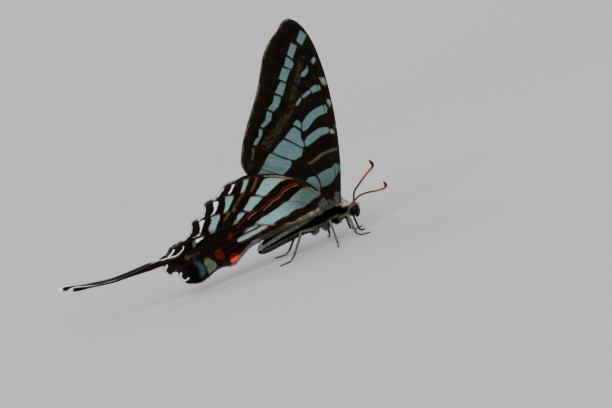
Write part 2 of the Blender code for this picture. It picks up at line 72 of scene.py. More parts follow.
def placed(points):  # side frame in mm to the world in metres
    return turned(points) + shift


def standing(points):  # over the floor in mm to the world in metres
    return np.asarray(points, float) * mm + shift


def overFloor(point):  # side frame to over the floor, both in mm
    return turned([point])[0] / mm


def backToSide(point):  # and the other way
    x, y, z = point
    z -= stance["rootHeight"]
    return (x * math.cos(turn) - z * math.sin(turn), y, x * math.sin(turn) + z * math.cos(turn))


# Curves and flat shapes
farOut = -9.0  # mm, the depth in a mark of what is nowhere near it


def smoothLine(points, steps=6):  # a smooth curve through all the points
    p = [np.array(q, float) for q in points]
    p = [2 * p[0] - p[1]] + p + [2 * p[-1] - p[-2]]
    out = []
    for a, b, c, d in zip(p, p[1:], p[2:], p[3:]):
        for k in range(steps):
            t = k / steps
            out.append(0.5 * (2 * b + (c - a) * t + (2 * a - 5 * b + 4 * c - d) * t * t
                              + (3 * b - a - 3 * c + d) * t ** 3))
    return np.array(out + [p[-2]])


def evenLine(points, step, measured=3):  # the same line in even steps, by its first few columns
    p = np.asarray(points, float)
    run = np.concatenate([[0], np.cumsum(np.linalg.norm(np.diff(p[:, :measured], axis=0), axis=1))])
    at = np.linspace(0, run[-1], max(2, round(run[-1] / step) + 1))
    return np.stack([np.interp(at, run, p[:, i]) for i in range(p.shape[1])], 1)


def curve(points, step, measured=3, steps=6):
    return evenLine(smoothLine(points, steps), step, measured)


def trimCorners(shape, cut=0.08):
    p = np.asarray(shape, float)
    out = []
    for a, b, c in zip(np.roll(p, 1, 0), p, np.roll(p, -1, 0)):
        for q in (a, c):
            away = max(np.linalg.norm(q - b), 1e-6)
            out.append(b + (q - b) * min(0.33, cut / away))
    return np.array(out)


def toSegment(points, a, b):  # the share along a segment, and how far off it the points are
    d = b - a
    t = np.clip(((points - a) @ d) / max(d @ d, 1e-12), 0, 1)
    return t, np.linalg.norm(points - a - t[:, None] * d, axis=1)


def lineDistance(points, line):
    best = np.full(len(points), 1e9)
    for a, b in zip(line[:-1], line[1:]):
        best = np.minimum(best, toSegment(points, a, b)[1])
    return best


def lineDepth(points, line, first, last):  # mm inside a line whose half width runs from first to last
    run = smoothLine(line)
    best = np.full(len(points), farOut)
    for i, (a, b) in enumerate(zip(run[:-1], run[1:])):
        t, away = toSegment(points, a, b)
        best = np.maximum(best, first + (last - first) * (i + t) / (len(run) - 1) - away)
    return best


def insideShape(points, shape):
    hit = np.zeros(len(points), bool)
    for a, b in zip(shape, np.roll(shape, -1, 0)):
        if a[1] == b[1]:
            continue
        crosses = (a[1] > points[:, 1]) != (b[1] > points[:, 1])
        hit ^= crosses & (points[:, 0] < a[0] + (b[0] - a[0]) * (points[:, 1] - a[1]) / (b[1] - a[1]))
    return hit


def closedLine(shape):
    return np.vstack([shape, shape[:1]])


def acrossLine(points):  # the way across a flat line, at each of its points
    way = np.gradient(points[:, :2], axis=0)
    way /= np.linalg.norm(way, axis=1)[:, None]
    return np.stack([-way[:, 1], way[:, 0]], 1)


def shapeDepth(points, shape):  # mm inside the shape, negative outside
    return lineDistance(points, closedLine(shape)) * np.where(insideShape(points, shape), 1, -1)


def deepest(points, shapes):
    return np.max([shapeDepth(points, trimCorners(s)) for s in shapes], 0)


def ease(a, b, x):  # rises softly from 0 at a to 1 at b
    t = np.clip((x - a) / (b - a), 0, 1)
    return t * t * (3 - 2 * t)


def colourAlong(where, stops):  # colours between stops, each a place and a colour
    places = [place for place, _ in stops]
    return np.stack([np.interp(where, places, [colour[k] for _, colour in stops]) for k in range(3)], 1)


def noiseAt(points, scale):
    return np.array([noise.noise(Vector(p) * scale) for p in points])


# Meshes

def newObject(name, points, faces):
    mesh = bpy.data.meshes.new(name)
    mesh.from_pydata(np.asarray(points, float).tolist(), [], faces)
    mesh.validate()
    mesh.shade_smooth()
    obj = bpy.data.objects.new(name, mesh)
    bpy.context.scene.collection.objects.link(obj)
    return obj


def copyOf(obj, name):
    copied = bpy.data.objects.new(name, obj.data.copy())
    bpy.context.scene.collection.objects.link(copied)
    return copied


def outward(obj):
    bm = bmesh.new()
    bm.from_mesh(obj.data)
    bmesh.ops.recalc_face_normals(bm, faces=bm.faces)
    bm.to_mesh(obj.data)
    bm.free()
    return obj


def joinParts(name, parts):
    points, faces = [], []
    for p, f in parts:
        faces += [tuple(i + len(points) for i in face) for face in f]
        points += [tuple(q) for q in p]
    return outward(newObject(name, points, faces))


def tubeParts(line, radii, sides=12):  # a closed tube, with a radius for each point of its line
    p = np.asarray(line, float)
    along = np.gradient(p, axis=0)
    along /= np.linalg.norm(along, axis=1)[:, None]
    side = np.cross(along[0], (0, 0, 1) if abs(along[0][2]) < 0.9 else (1, 0, 0))
    points, faces = [p[0]], []
    for i, q in enumerate(p):
        side = side - along[i] * (side @ along[i])
        side /= np.linalg.norm(side)
        up = np.cross(along[i], side)
        for k in range(sides):
            a = 2 * math.pi * k / sides
            points.append(q + radii[i] * (side * math.cos(a) + up * math.sin(a)))
    points.append(p[-1])
    last = len(points) - 1
    for k in range(sides):
        j = (k + 1) % sides
        faces.append((0, 1 + j, 1 + k))
        for i in range(len(p) - 1):
            a, b = 1 + i * sides, 1 + (i + 1) * sides
            faces.append((a + k, a + j, b + j, b + k))
        faces.append((last, last - sides + k, last - sides + j))
    return points, faces


def ringLoft(stations, sides, shrink, groove=None):  # stations: u, v, half height and half width
    points, faces = [], []
    s = np.array(stations, float)
    along = np.gradient(s[:, :2], axis=0)
    along /= np.linalg.norm(along, axis=1)[:, None]
    for i, (u, v, tall, wide) in enumerate(s):
        less = shrink + (groove(i) if groove else 0)
        for k in range(sides):
            a = 2 * math.pi * k / sides
            rise, across = math.sin(a) * max(0.15, tall - less), math.cos(a) * max(0.15, wide - less)
            points.append((u - along[i][1] * rise, across, v + along[i][0] * rise))
    for i in range(len(s) - 1):
        for k in range(sides):
            j = (k + 1) % sides
            faces.append((i * sides + k, i * sides + j, (i + 1) * sides + j, (i + 1) * sides + k))
    faces += [tuple(range(sides)), tuple(range((len(s) - 1) * sides, len(s) * sides))]
    return points, faces


def ballParts(centre, radii, lean=0.0, segments=48, rings=32):
    bm = bmesh.new()
    bmesh.ops.create_uvsphere(bm, u_segments=segments, v_segments=rings, radius=1)
    spin = Matrix.Translation(Vector(centre)) @ Matrix.Rotation(math.radians(lean), 4, "Y")
    bmesh.ops.transform(bm, matrix=spin @ Matrix.Diagonal((*radii, 1)), verts=bm.verts)
    points = [tuple(v.co) for v in bm.verts]
    faces = [tuple(v.index for v in f.verts) for f in bm.faces]
    bm.free()
    return points, faces


def applied(obj):
    mesh = bpy.data.meshes.new_from_object(obj.evaluated_get(bpy.context.evaluated_depsgraph_get()))
    obj.modifiers.clear()
    old = obj.data
    obj.data = mesh
    bpy.data.meshes.remove(old)
    return obj


def pointsOf(obj, what="co"):
    values = np.zeros(len(obj.data.vertices) * 3)
    obj.data.vertices.foreach_get(what, values)
    return values.reshape(-1, 3)


def settle(obj, where=placed):  # from mm to its place in the world
    obj.data.vertices.foreach_set("co", where(pointsOf(obj)).ravel())
    obj.data.update()
    return obj


def setFloat(obj, name, values, kind="FLOAT", field="value"):  # one value for each point
    layer = obj.data.attributes.new(name, kind, "POINT")
    layer.data.foreach_set(field, np.asarray(values, np.float32).ravel())


def setVector(obj, name, values):
    setFloat(obj, name, values, "FLOAT_VECTOR", "vector")


def setColour(obj, name, values):
    setFloat(obj, name, np.hstack([values, np.ones((len(values), 1))]), "FLOAT_COLOR", "color")


def finish(obj, look, slot, *nodes):
    if look:
        obj.data.materials.clear()
        obj.data.materials.append(look)
    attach(obj, "root")
    if nodes:
        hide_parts(*nodes)
    return obj


# Materials

class Wire:  # one socket, so that maths on it is written as maths
    def __init__(self, net, socket):
        self.net, self.socket = net, socket

    def maths(self, operation, *values, clamp=False):
        settings = {"operation": operation, "use_clamp": clamp}
        return self.net.node("ShaderNodeMath", settings, dict(enumerate(values)))

    def __add__(self, other):
        return self.maths("ADD", self, other)

    def __sub__(self, other):
        return self.maths("SUBTRACT", self, other)

    def __rsub__(self, other):
        return self.maths("SUBTRACT", other, self)

    def __mul__(self, other):
        return self.maths("MULTIPLY", self, other)

    def __truediv__(self, other):
        return self.maths("DIVIDE", self, other)

    __radd__, __rmul__ = __add__, __mul__

    def most(self, other):
        return self.maths("MAXIMUM", self, other)

    def clamp(self):
        return self.maths("ADD", self, 0.0, clamp=True)

    def soft(self, width):  # 0 to 1 over a width round nought
        return (self / width + 0.5).clamp()


class Net:  # a tree of nodes, of a material or of tufts
    def __init__(self, tree):
        self.tree = tree

    def node(self, kind, settings=None, sockets=None, output=0):
        node = self.tree.nodes.new(kind)
        for key, value in (settings or {}).items():
            setattr(node, key, value)
        for key, value in (sockets or {}).items():
            if isinstance(value, Wire):
                self.tree.links.new(value.socket, node.inputs[key])
            else:
                node.inputs[key].default_value = value
        return Wire(self, node.outputs[output])


class Look(Net):
    def __init__(self, name):
        self.material = bpy.data.materials.new(name)
        self.material.use_nodes = True
        super().__init__(self.material.node_tree)
        self.shader = self.tree.nodes["Principled BSDF"]

    def attribute(self, name, output="Fac"):
        return self.node("ShaderNodeAttribute", {"attribute_name": name}, output=output)

    def pattern(self, kind, size, output, **more):  # over the object's own place, size in mm
        where = self.node("ShaderNodeTexCoord", output="Object")
        return self.node(kind, {}, {"Vector": where, "Scale": 1 / (size * mm), **more}, output)

    def noise(self, size, detail=3):
        return self.pattern("ShaderNodeTexNoise", size, 0, Detail=detail)

    def cells(self, size, output="Distance"):
        return self.pattern("ShaderNodeTexVoronoi", size, output)

    def mix(self, share, a, b):
        a = (*a, 1) if isinstance(a, tuple) else a
        b = (*b, 1) if isinstance(b, tuple) else b
        return self.node("ShaderNodeMix", {"data_type": "RGBA"}, {0: share, 6: a, 7: b}, 2)

    def scaled(self, colour, share):
        return self.node("ShaderNodeVectorMath", {"operation": "SCALE"}, {0: colour, "Scale": share})

    def bump(self, height, distance, strength):  # distance in mm
        sockets = {"Height": height, "Distance": distance * mm, "Strength": strength}
        return self.node("ShaderNodeBump", {}, sockets)

    def done(self, colour, roughness, normal=None, shine=0.5):
        for name, value in (("Base Color", colour), ("Roughness", roughness), ("Normal", normal)):
            if isinstance(value, Wire):
                self.tree.links.new(value.socket, self.shader.inputs[name])
            elif value is not None:
                self.shader.inputs[name].default_value = (*value, 1) if isinstance(value, tuple) else value
        self.shader.inputs["Specular IOR Level"].default_value = shine
        return self.material


def paint(colour, share, new):
    return colour + (np.array(new) - colour) * np.clip(share, 0, 1)[:, None]


# Tufts, for hair and for scales that stand off
tuftForm = {"foot": 0.5, "waist": 0.42, "bend": 0.3, "tone": (0.72, 1.28), "stray": 0.24,
            "lengths": (0.65, 1.15), "patch": 0.003, "seed": 3}


def tuftMesh(name):  # one three-sided tuft of height 1, bent over towards its tip
    foot, waist, bend = tuftForm["foot"], tuftForm["waist"], tuftForm["bend"]
    points, faces = [], []
    for z, r in ((0, foot), (0.5, waist)):
        for k in range(3):
            a = 2 * math.pi * k / 3
            points.append((math.cos(a) * r - bend * z * z, math.sin(a) * r, z))
    points.append((-bend, 0, 1))
    for k in range(3):
        j = (k + 1) % 3
        faces += [(k, j, 3 + j, 3 + k), (3 + k, 3 + j, 6)]
    faces.append((2, 1, 0))
    obj = newObject(name, points, faces)
    setFloat(obj, "tip", [p[2] for p in points])
    setVector(obj, "local", [(0.5 + p[0] * 0.5, p[2], 0) for p in points])
    obj.hide_render = True
    return obj


def scatterTree(name):  # sets tufts on a mesh where its attributes say so
    net, ids = Net(bpy.data.node_groups.new(name, "GeometryNodeTree")), {}
    for label, kind, default in (("Geometry", "Geometry", None), ("Tuft", "Object", None),
                                 ("Per square mm", "Float", 60.0), ("Width", "Float", 0.08),
                                 ("Length", "Float", 0.6), ("Seed", "Int", 3), ("Finish", "Material", None)):
        socket = net.tree.interface.new_socket(label, in_out="INPUT", socket_type="NodeSocket" + kind)
        if default is not None:
            socket.default_value = default
        ids[label] = socket.identifier
    net.tree.interface.new_socket("Geometry", in_out="OUTPUT", socket_type="NodeSocketGeometry")
    entry = net.tree.nodes.new("NodeGroupInput")
    given = {label: Wire(net, entry.outputs[label]) for label in ids}

    def inUse(sockets, name=None):  # a node has one socket for each type, and shows those in use
        return next(s for s in sockets if s.enabled and name in (None, s.name))

    def named(label, kind="FLOAT"):
        found = net.node("GeometryNodeInputNamedAttribute", {"data_type": kind}, {"Name": label})
        return Wire(net, inUse(found.socket.node.outputs))

    def chance(low, high, seed):
        node = net.node("FunctionNodeRandomValue", {"data_type": "FLOAT"}, {"Seed": seed}).socket.node
        inUse(node.inputs, "Min").default_value = low
        inUse(node.inputs, "Max").default_value = high
        return Wire(net, inUse(node.outputs))

    def vectors(operation, sockets):
        return net.node("ShaderNodeVectorMath", {"operation": operation}, sockets)

    def stored(geometry, label, value, kind="FLOAT", domain="POINT"):
        found = net.node("GeometryNodeStoreNamedAttribute", {"data_type": kind, "domain": domain},
                         {"Geometry": geometry, "Name": label})
        net.tree.links.new(value.socket, inUse(found.socket.node.inputs, "Value"))
        return found

    dense = given["Per square mm"] * named("cover")
    spots = net.node("GeometryNodeDistributePointsOnFaces", {"distribute_method": "RANDOM"},
                     {"Mesh": given["Geometry"], "Density": dense, "Seed": given["Seed"]}, "Points")
    toned = stored(spots, "tone", chance(*tuftForm["tone"], 9))
    stray = tuftForm["stray"]
    jitter = net.node("FunctionNodeRandomValue", {"data_type": "FLOAT_VECTOR"},
                      {"Min": (-stray, -stray, -stray), "Max": (stray, stray, stray), "Seed": 5})
    way = vectors("ADD", {0: named("lie", "FLOAT_VECTOR"), 1: jitter})
    aim = net.node("FunctionNodeAlignRotationToVector", {"axis": "Z"}, {"Vector": way}, "Rotation")
    tall = given["Length"] * chance(*tuftForm["lengths"], 2) * named("long")
    size = net.node("ShaderNodeCombineXYZ", {}, {0: given["Width"], 1: given["Width"], 2: tall})
    shape = net.node("GeometryNodeObjectInfo", {}, {"Object": given["Tuft"]}, "Geometry")
    put = net.node("GeometryNodeInstanceOnPoints", {},
                   {"Points": toned, "Instance": shape, "Rotation": aim, "Scale": size})
    real = net.node("GeometryNodeRealizeInstances", {}, {"Geometry": put})
    spread = vectors("SCALE", {0: named("local", "FLOAT_VECTOR"), "Scale": tuftForm["patch"]})
    patch = vectors("ADD", {0: named("rootPlace", "FLOAT_VECTOR"), 1: spread})
    baked = stored(real, "OFBake", patch, "FLOAT2", "CORNER")
    shown = net.node("GeometryNodeSetMaterial", {}, {"Geometry": baked, "Material": given["Finish"]})
    net.tree.links.new(shown.socket, net.tree.nodes.new("NodeGroupOutput").inputs[0])
    return net.tree, ids


scatter, scatterIds = scatterTree("scatterTufts")


def growTufts(name, host, form, look, slot="body_hair", where=placed):
    coat = copyOf(host, name)  # in mm until it is settled
    modifier = coat.modifiers.new("tufts", "NODES")
    modifier.node_group = scatter
    for label, value in (("Tuft", tuft), ("Per square mm", form["density"]), ("Width", form["width"]),
                         ("Length", form["length"]), ("Seed", tuftForm["seed"]), ("Finish", look)):
        modifier[scatterIds[label]] = value
    applied(coat)
    settle(coat, where)
    for layer in ("local", "rootPlace", "lie", "cover", "long"):
        found = coat.data.attributes.get(layer)
        if found:
            coat.data.attributes.remove(found)
    coat.data.shade_smooth()
    print(name, len(coat.data.polygons), "faces")
    return finish(coat, None, slot)


def onSheet(across, along):  # places on a flat sheet for the tufts' colours, with a margin round it
    return np.stack([0.03 + 0.93 * across, 0.03 + 0.93 * along, np.zeros(len(across))], 1)


def dress(obj, colours, lie, cover, longness, unwrap):  # all that the tufts read from their host
    setColour(obj, "tint", colours)
    setVector(obj, "lie", lie)
    setVector(obj, "rootPlace", unwrap(pointsOf(obj)))
    setFloat(obj, "cover", cover)
    setFloat(obj, "long", longness)


coatFinish = {"roughness": 0.65, "shine": 0.05, "grain": 0.12}


def coatLook(name, isHair):
    look = Look(name)
    tint = look.attribute("tint", "Color")
    if isHair:
        shade = (look.attribute("tip") * 0.75 + 0.5) * look.attribute("tone")
        return look.done(look.scaled(tint, shade), coatFinish["roughness"], shine=coatFinish["shine"])
    grain = look.noise(coatFinish["grain"])
    relief = look.bump(grain, 0.05, 0.8)
    tint = look.scaled(tint, grain * 0.5 + 0.35)
    return look.done(tint, coatFinish["roughness"], relief, coatFinish["shine"])


hairLook, tuft = coatLook("bodyHair", True), tuftMesh("tuftShape")


# Wings
print("wings")
wingForm = {"apart": 0.52, "rootsApart": 1.75, "rootReach": 8.0, "layer": 1.06, "wrap": 0.95, "curl": 0.9,
            "thick": 0.3, "spacing": 0.24, "markStep": 0.24, "thinLine": 0.33, "veinWidth": 0.24,
            "veinOutside": 0.13, "veinInside": 0.05, "wave": 0.05, "pleat": 0.05, "pleatReach": 1.6}

forewing = {
    "costa": [(0.8, -0.9), (0.8, 3), (0.75, 8), (0.1, 14.8), (-1.1, 21.8), (-2.9, 28.8), (-5.2, 34.9),
              (-7.2, 38.3), (-8.7, 39.9), (-9.9, 40.75), (-11, 41)],
    "outer": [(-11, 41), (-12.3, 40.4), (-13, 39.4), (-13.5, 38.3), (-14.7, 36.8), (-16, 34.6), (-16.9, 32),
              (-17.4, 28.9), (-18, 25.4), (-19.1, 21.2), (-20.4, 16.9), (-21.4, 12.8), (-21.8, 8.4),
              (-20.7, 5.8)],
    "inner": [(-20.7, 5.8), (-14, 2.7), (-7, 0.6), (-3, -0.5), (-0.8, -1.4), (0.8, -0.9)],
    "veins": {
        "subcosta": [(0.2, -0.3), (0.1, 8), (-0.7, 15), (-1.4, 21.5)],
        "radius": [(-0.1, -0.3), (-0.7, 8), (-1.8, 15.6), (-3, 20.6), (-4.2, 24.6), (-5.3, 28.4),
                   (-6.8, 32.4), (-8.6, 34.9), (-10, 35.9), (-13.1, 38.4)],
        "radius1": [(-1.75, 15), (-2.2, 19.5), (-2.55, 22.5), (-2.3, 25)],
        "radius2": [(-3, 20.6), (-3.7, 25.4), (-4, 28.6), (-4.3, 31.5), (-5, 33.9)],
        "radius3": [(-4, 28.6), (-4.6, 30.6), (-5.2, 33.4), (-6.1, 36), (-7, 37.5), (-8.7, 38.8),
                    (-10.8, 40.5)],
        "radius5": [(-4.6, 26), (-6.4, 29.4), (-8, 30.8), (-10.3, 31.9), (-11.6, 32.8), (-15, 35.7)],
        "media1": [(-5, 22.9), (-6.1, 24.7), (-6.9, 25.8), (-8.6, 28), (-10.6, 29.6), (-12.4, 30.25),
                   (-16.6, 32.4)],
        "media2": [(-7.3, 21.4), (-8.15, 23.1), (-9.8, 24.9), (-11.75, 26.5), (-13.2, 27.2), (-17.3, 28.8)],
        "media3": [(-8.1, 19), (-9.9, 21.2), (-12.6, 23.4), (-14.4, 24.1), (-17.9, 25.4)],
        "cubitus": [(-0.6, -0.5), (-2.9, 1.3), (-3.9, 3), (-4.3, 4.5), (-5.3, 6.4), (-6.6, 8.4), (-7.6, 11.7),
                    (-7.6, 12.8), (-8.2, 14.3), (-8.2, 15.8), (-8.1, 19), (-7.3, 21.4), (-5, 22.9),
                    (-3.9, 23.6)],
        "cubitus1": [(-8.2, 15.8), (-10.2, 16.85), (-14.8, 19.8), (-16, 20.45), (-19, 21.4)],
        "cubitus2": [(-7.6, 11.6), (-9, 12.2), (-10.2, 12.85), (-12.2, 13.9), (-17, 16.15), (-20.3, 17.3)],
        "cubitus3": [(-6.6, 8.4), (-9, 8.5), (-10.6, 8.95), (-12, 9.35), (-14.9, 10.55), (-18.9, 12.05),
                     (-21.4, 12.7)],
        "anal": [(-0.8, -0.7), (-7, 3), (-14, 5.9), (-21.7, 8.2)],
    },
}

hindwing = {
    "costa": [(-2.2, -0.7), (-3.9, 1.4), (-5.9, 3.2), (-8.4, 4.7), (-12, 5.6), (-16.6, 5.9), (-20.9, 5.3),
              (-23.4, 4)],
    "outer": [(-23.4, 4), (-25.2, 3.2), (-26.8, 1.8), (-27.9, 0.3), (-30.2, -1.1), (-30.5, -2.4),
              (-30.7, -3.6), (-33, -5.3), (-33.4, -6.3), (-33.5, -7.6), (-35.5, -9.5), (-38.3, -11.2),
              (-39, -12.6), (-39.99, -13.27)],
    "tailRoot": (-39.31, -15.03),
    "lobes": [(-39.6, -15.8), (-39.2, -16.7), (-38.4, -17), (-37.2, -16.2), (-36.4, -16.6), (-36.1, -17.8),
              (-35.2, -18.6), (-33.8, -19.1), (-31.6, -18.9), (-29.8, -17.8), (-28.1, -16.3), (-26.4, -15.4),
              (-24.6, -15.1)],
    "inner": [(-24.6, -15.1), (-23.2, -14.4), (-21.9, -12.8), (-19.6, -10.2), (-17.6, -9.3), (-15.1, -8.1),
              (-12.9, -6.9), (-10.2, -5.7), (-8, -4.9), (-5, -3.6), (-3.2, -2.9), (-2.2, -0.7)],
    "tail": [(-39.93, -14.26, 1.9, 0), (-42.8, -15.35, 1.6, 12), (-47.2, -17.05, 1.15, 42),
             (-51.3, -18.5, 1, 56), (-56, -19.4, 1, 48), (-59.1, -19.9, 1.35, 25),
             (-61.4, -20.2, 1, 5)],  # u, v, width and twist
    "swing": {-1: (0, -2.2), 1: (-2.6, 2.8)},  # of the tail's tip, back and out
    "veins": {
        "subcosta": [(-3, -1.2), (-5.4, 1.6), (-8, 3.5), (-10.6, 4.5), (-13.5, 5.05), (-17.5, 5.2),
                     (-20.6, 4.9), (-22.9, 4)],
        "radius": [(-5.4, 1.6), (-8.6, 3.1), (-11.5, 2.9), (-14.5, 1.7), (-17, 0.85), (-18.8, 1.15),
                   (-21.5, 1.5), (-24.5, 1.05), (-26.6, 0.5), (-28.4, -0.4)],
        "media1": [(-3.4, -1.7), (-5.4, -1), (-7.6, -0.7), (-9.5, -0.4), (-11.2, -0.4), (-14, -1.1),
                   (-17.4, -2), (-20.7, -2.75), (-22.5, -2.65), (-26.6, -3.1), (-29.8, -4.1), (-31.5, -4.6)],
        "media2": [(-14, -1.1), (-17, -3.3), (-20.6, -4.7), (-24, -5.7), (-28.9, -7.7), (-30.6, -8.1),
                   (-33.9, -8.6)],
        "media3": [(-17, -3.3), (-18.8, -5.5), (-20.8, -6.5), (-22, -7.2), (-26, -9), (-33, -11.6),
                   (-39.4, -14.05), (-42.8, -15.35), (-47.2, -17.05), (-51.3, -18.5), (-56, -19.4),
                   (-60.4, -20.1)],
        "cubitus": [(-3.4, -2), (-8, -2.6), (-11.6, -4), (-14.7, -5.65), (-16.9, -5.65), (-18.8, -5.5)],
        "cubitus1": [(-16.9, -5.65), (-18, -6.05), (-19.5, -6.8), (-21.2, -7.7), (-24.6, -10), (-30, -13.2),
                     (-38.6, -16.5)],
        "cubitus2": [(-14.7, -5.65), (-16.6, -6.7), (-18.6, -7.9), (-22.6, -10.2), (-28, -13.9),
                     (-34.2, -18.6)],
        "anal": [(-3.6, -2.3), (-10, -5), (-17.8, -8.8), (-25.6, -14.9)],
    },
}

blackSpot = {"at": (-32.2, -16.5), "radius": 2.3}  # round the blue of the hindwing
foreMarks = {
    "pale": [
        [(-8.5, 38.6), (-7, 37.4), (-8.1, 35), (-9.4, 36.1)],
        [(-10.6, 35.7), (-9.2, 34.9), (-10.2, 32), (-11.5, 33)],
        [(-11.7, 32.5), (-10.4, 31.7), (-9.9, 30.8), (-10.5, 29.6), (-12.2, 30.4)],
        [(-12.6, 30.1), (-10.7, 29.5), (-11.8, 26.7), (-13.4, 27.5)],
        [(-13, 26.9), (-11.7, 26.3), (-12.5, 23.6), (-14.3, 24.3)],
        [(-14.4, 23.8), (-12.9, 23.3), (-13.1, 22.1), (-13.5, 21.1), (-14.6, 20), (-15.9, 20.7), (-14.8, 22)],
        [(-16.1, 20.2), (-14.9, 19.7), (-15.1, 18.2), (-16, 17.1), (-16.9, 16.4), (-17.7, 16.7), (-16.5, 18)],
        [(-17.9, 16.2), (-17.1, 15.9), (-17.2, 14.7), (-17.8, 13.5), (-18.5, 12.3), (-19.3, 12.5),
         (-18.6, 13.9), (-18, 14.2), (-18, 15.3)],
        [(-5.4, 32.6), (-4.8, 31.8), (-5.5, 30.6), (-6.1, 31.6)],
        [(-6.9, 30.5), (-6.6, 29.9), (-6.7, 29), (-7.5, 27.9), (-8.4, 27.9), (-8.2, 28.8), (-7.3, 29.7)],
        [(-6.4, 25.2), (-5.1, 26.1), (-4.1, 26), (-3.6, 25.1), (-4.3, 24.7), (-5.7, 24.2)],
        [(-8.2, 23.6), (-6.5, 25), (-5.9, 24.4), (-7.5, 23.1), (-7.9, 23)],
        [(-8.5, 23.3), (-8.1, 22.8), (-9, 21.3), (-9.6, 21.4), (-9.3, 22.2)],
        [(-3.5, 21.4), (-2.7, 21.6), (-2.1, 20.7), (-2.3, 19.7), (-4, 19.1), (-5.1, 18.3), (-6, 17.1),
         (-6.9, 15.9), (-7.8, 15.5), (-8.1, 15.9), (-8, 17.4), (-7.3, 18.7), (-6.2, 19.9), (-4.7, 20.9)],
        [(-7.5, 13.3), (-6.9, 14.3), (-5.6, 15.3), (-4.4, 16.1), (-3.2, 16.4), (-2.1, 16.4), (-1.6, 15.8),
         (-2.2, 15), (-3.6, 14.5), (-4.9, 13.5), (-5.9, 12.7), (-6.9, 12.1), (-7.4, 12.1)],
        [(-9.3, 18.2), (-8.5, 17.7), (-8.2, 16.8), (-8.3, 16.1), (-10.2, 17.1)],
        [(-10.1, 16.5), (-9.7, 16.4), (-8.4, 15.4), (-8.3, 13.9), (-7.6, 12.8), (-7.6, 11.9), (-8.3, 11.9),
         (-9, 12.4), (-10.3, 13.1), (-12.1, 14.1), (-11.4, 15), (-10.8, 15.8)],
        [(-12.3, 13.7), (-11.5, 13.3), (-9.9, 12.6), (-8.7, 11.9), (-7.8, 11.5), (-8, 10.6), (-8.2, 9.8),
         (-9.2, 9.3), (-9.5, 9), (-10.6, 9), (-11.8, 9.5), (-13.3, 10), (-14.9, 10.7), (-14.1, 11.8),
         (-13.2, 12.9)],
        [(-15.6, 10.4), (-14.9, 10.4), (-13.6, 9.8), (-12.1, 9.2), (-10.7, 8.9), (-10.4, 8.2), (-10.8, 7.2),
         (-11.5, 6.5), (-12.3, 5.7), (-13.6, 4.2), (-19.2, 4.2), (-18.4, 5.6), (-17.8, 6.4), (-16.9, 7.9),
         (-16.3, 9.2)],
        [(-0.7, 8.2), (0.5, 7.9), (0.7, 6.5), (0.4, 6.2), (-0.5, 5), (-1.2, 3.9), (-1.9, 3.3), (-2.9, 2.9),
         (-3.6, 2.7), (-3.8, 3.6), (-4.1, 4.5), (-4.7, 5.5), (-3.9, 6), (-3.2, 6.4), (-2.2, 6.9),
         (-1.2, 7.2)],
        [(-5.6, 5.2), (-4.9, 5.1), (-4.4, 4.2), (-4, 3.5), (-3.9, 2.2), (-4.1, 1.6), (-4.9, 2.2), (-5.9, 3.2),
         (-7.2, 3.8), (-7.9, 4.2), (-7.1, 4.2), (-6.7, 4.9)],
    ],
    "grey": [
        [(-4.2, 27.8), (-3, 27.7), (-2.4, 26.3), (-3.1, 25.9), (-3.8, 26.9)],
        [(-2.4, 22.9), (-1.6, 22.7), (-1.4, 21.6), (-1.7, 21), (-2.5, 22.3)],
        [(-0.7, 17.2), (-0.3, 16.9), (-0.2, 16), (-0.5, 16.4)],
        [(-1.9, 16.1), (-1, 15.9), (-0.5, 15.2), (-1, 14.9), (-1.8, 15.2)],
    ],
    "tan": [
        [(0.1, 11.7), (0.1, 11.2), (-1, 10.9), (-1.9, 10.6), (-3, 10.2), (-4.1, 9.3), (-5.2, 8.5),
         (-6.2, 7.9), (-7.1, 8.2), (-5.9, 8.7), (-4.9, 9.6), (-3.8, 10.4), (-2.5, 11), (-1.2, 11.6)],
        [(-19.6, 11.9), (-19, 11.6), (-19, 10.6), (-19.3, 9), (-19.7, 9.1), (-19.4, 10.4)],
    ],
}
foreLines = {  # each line, and its half width at both ends
    "brown": [
        ([(-8, 32.4), (-8.5, 30.7), (-9.2, 26.9), (-9.8, 25), (-10.2, 23.1), (-10.8, 20.3), (-11.5, 19),
          (-12.6, 17.5), (-13.8, 15.6), (-15, 14.4), (-16.3, 12.5)], 0.5, 1),
        ([(-19.5, 8.9), (-19.8, 8), (-20.05, 7.1)], 0.4, 0.3),
    ],
    # a darker strip along a fold of the forewing: painted shade
    "fadeAndFoldShade": [
        ([(-12.4, 6.9), (-14.6, 7), (-16.6, 7.7)], 0.1, 0.3),
    ],
}

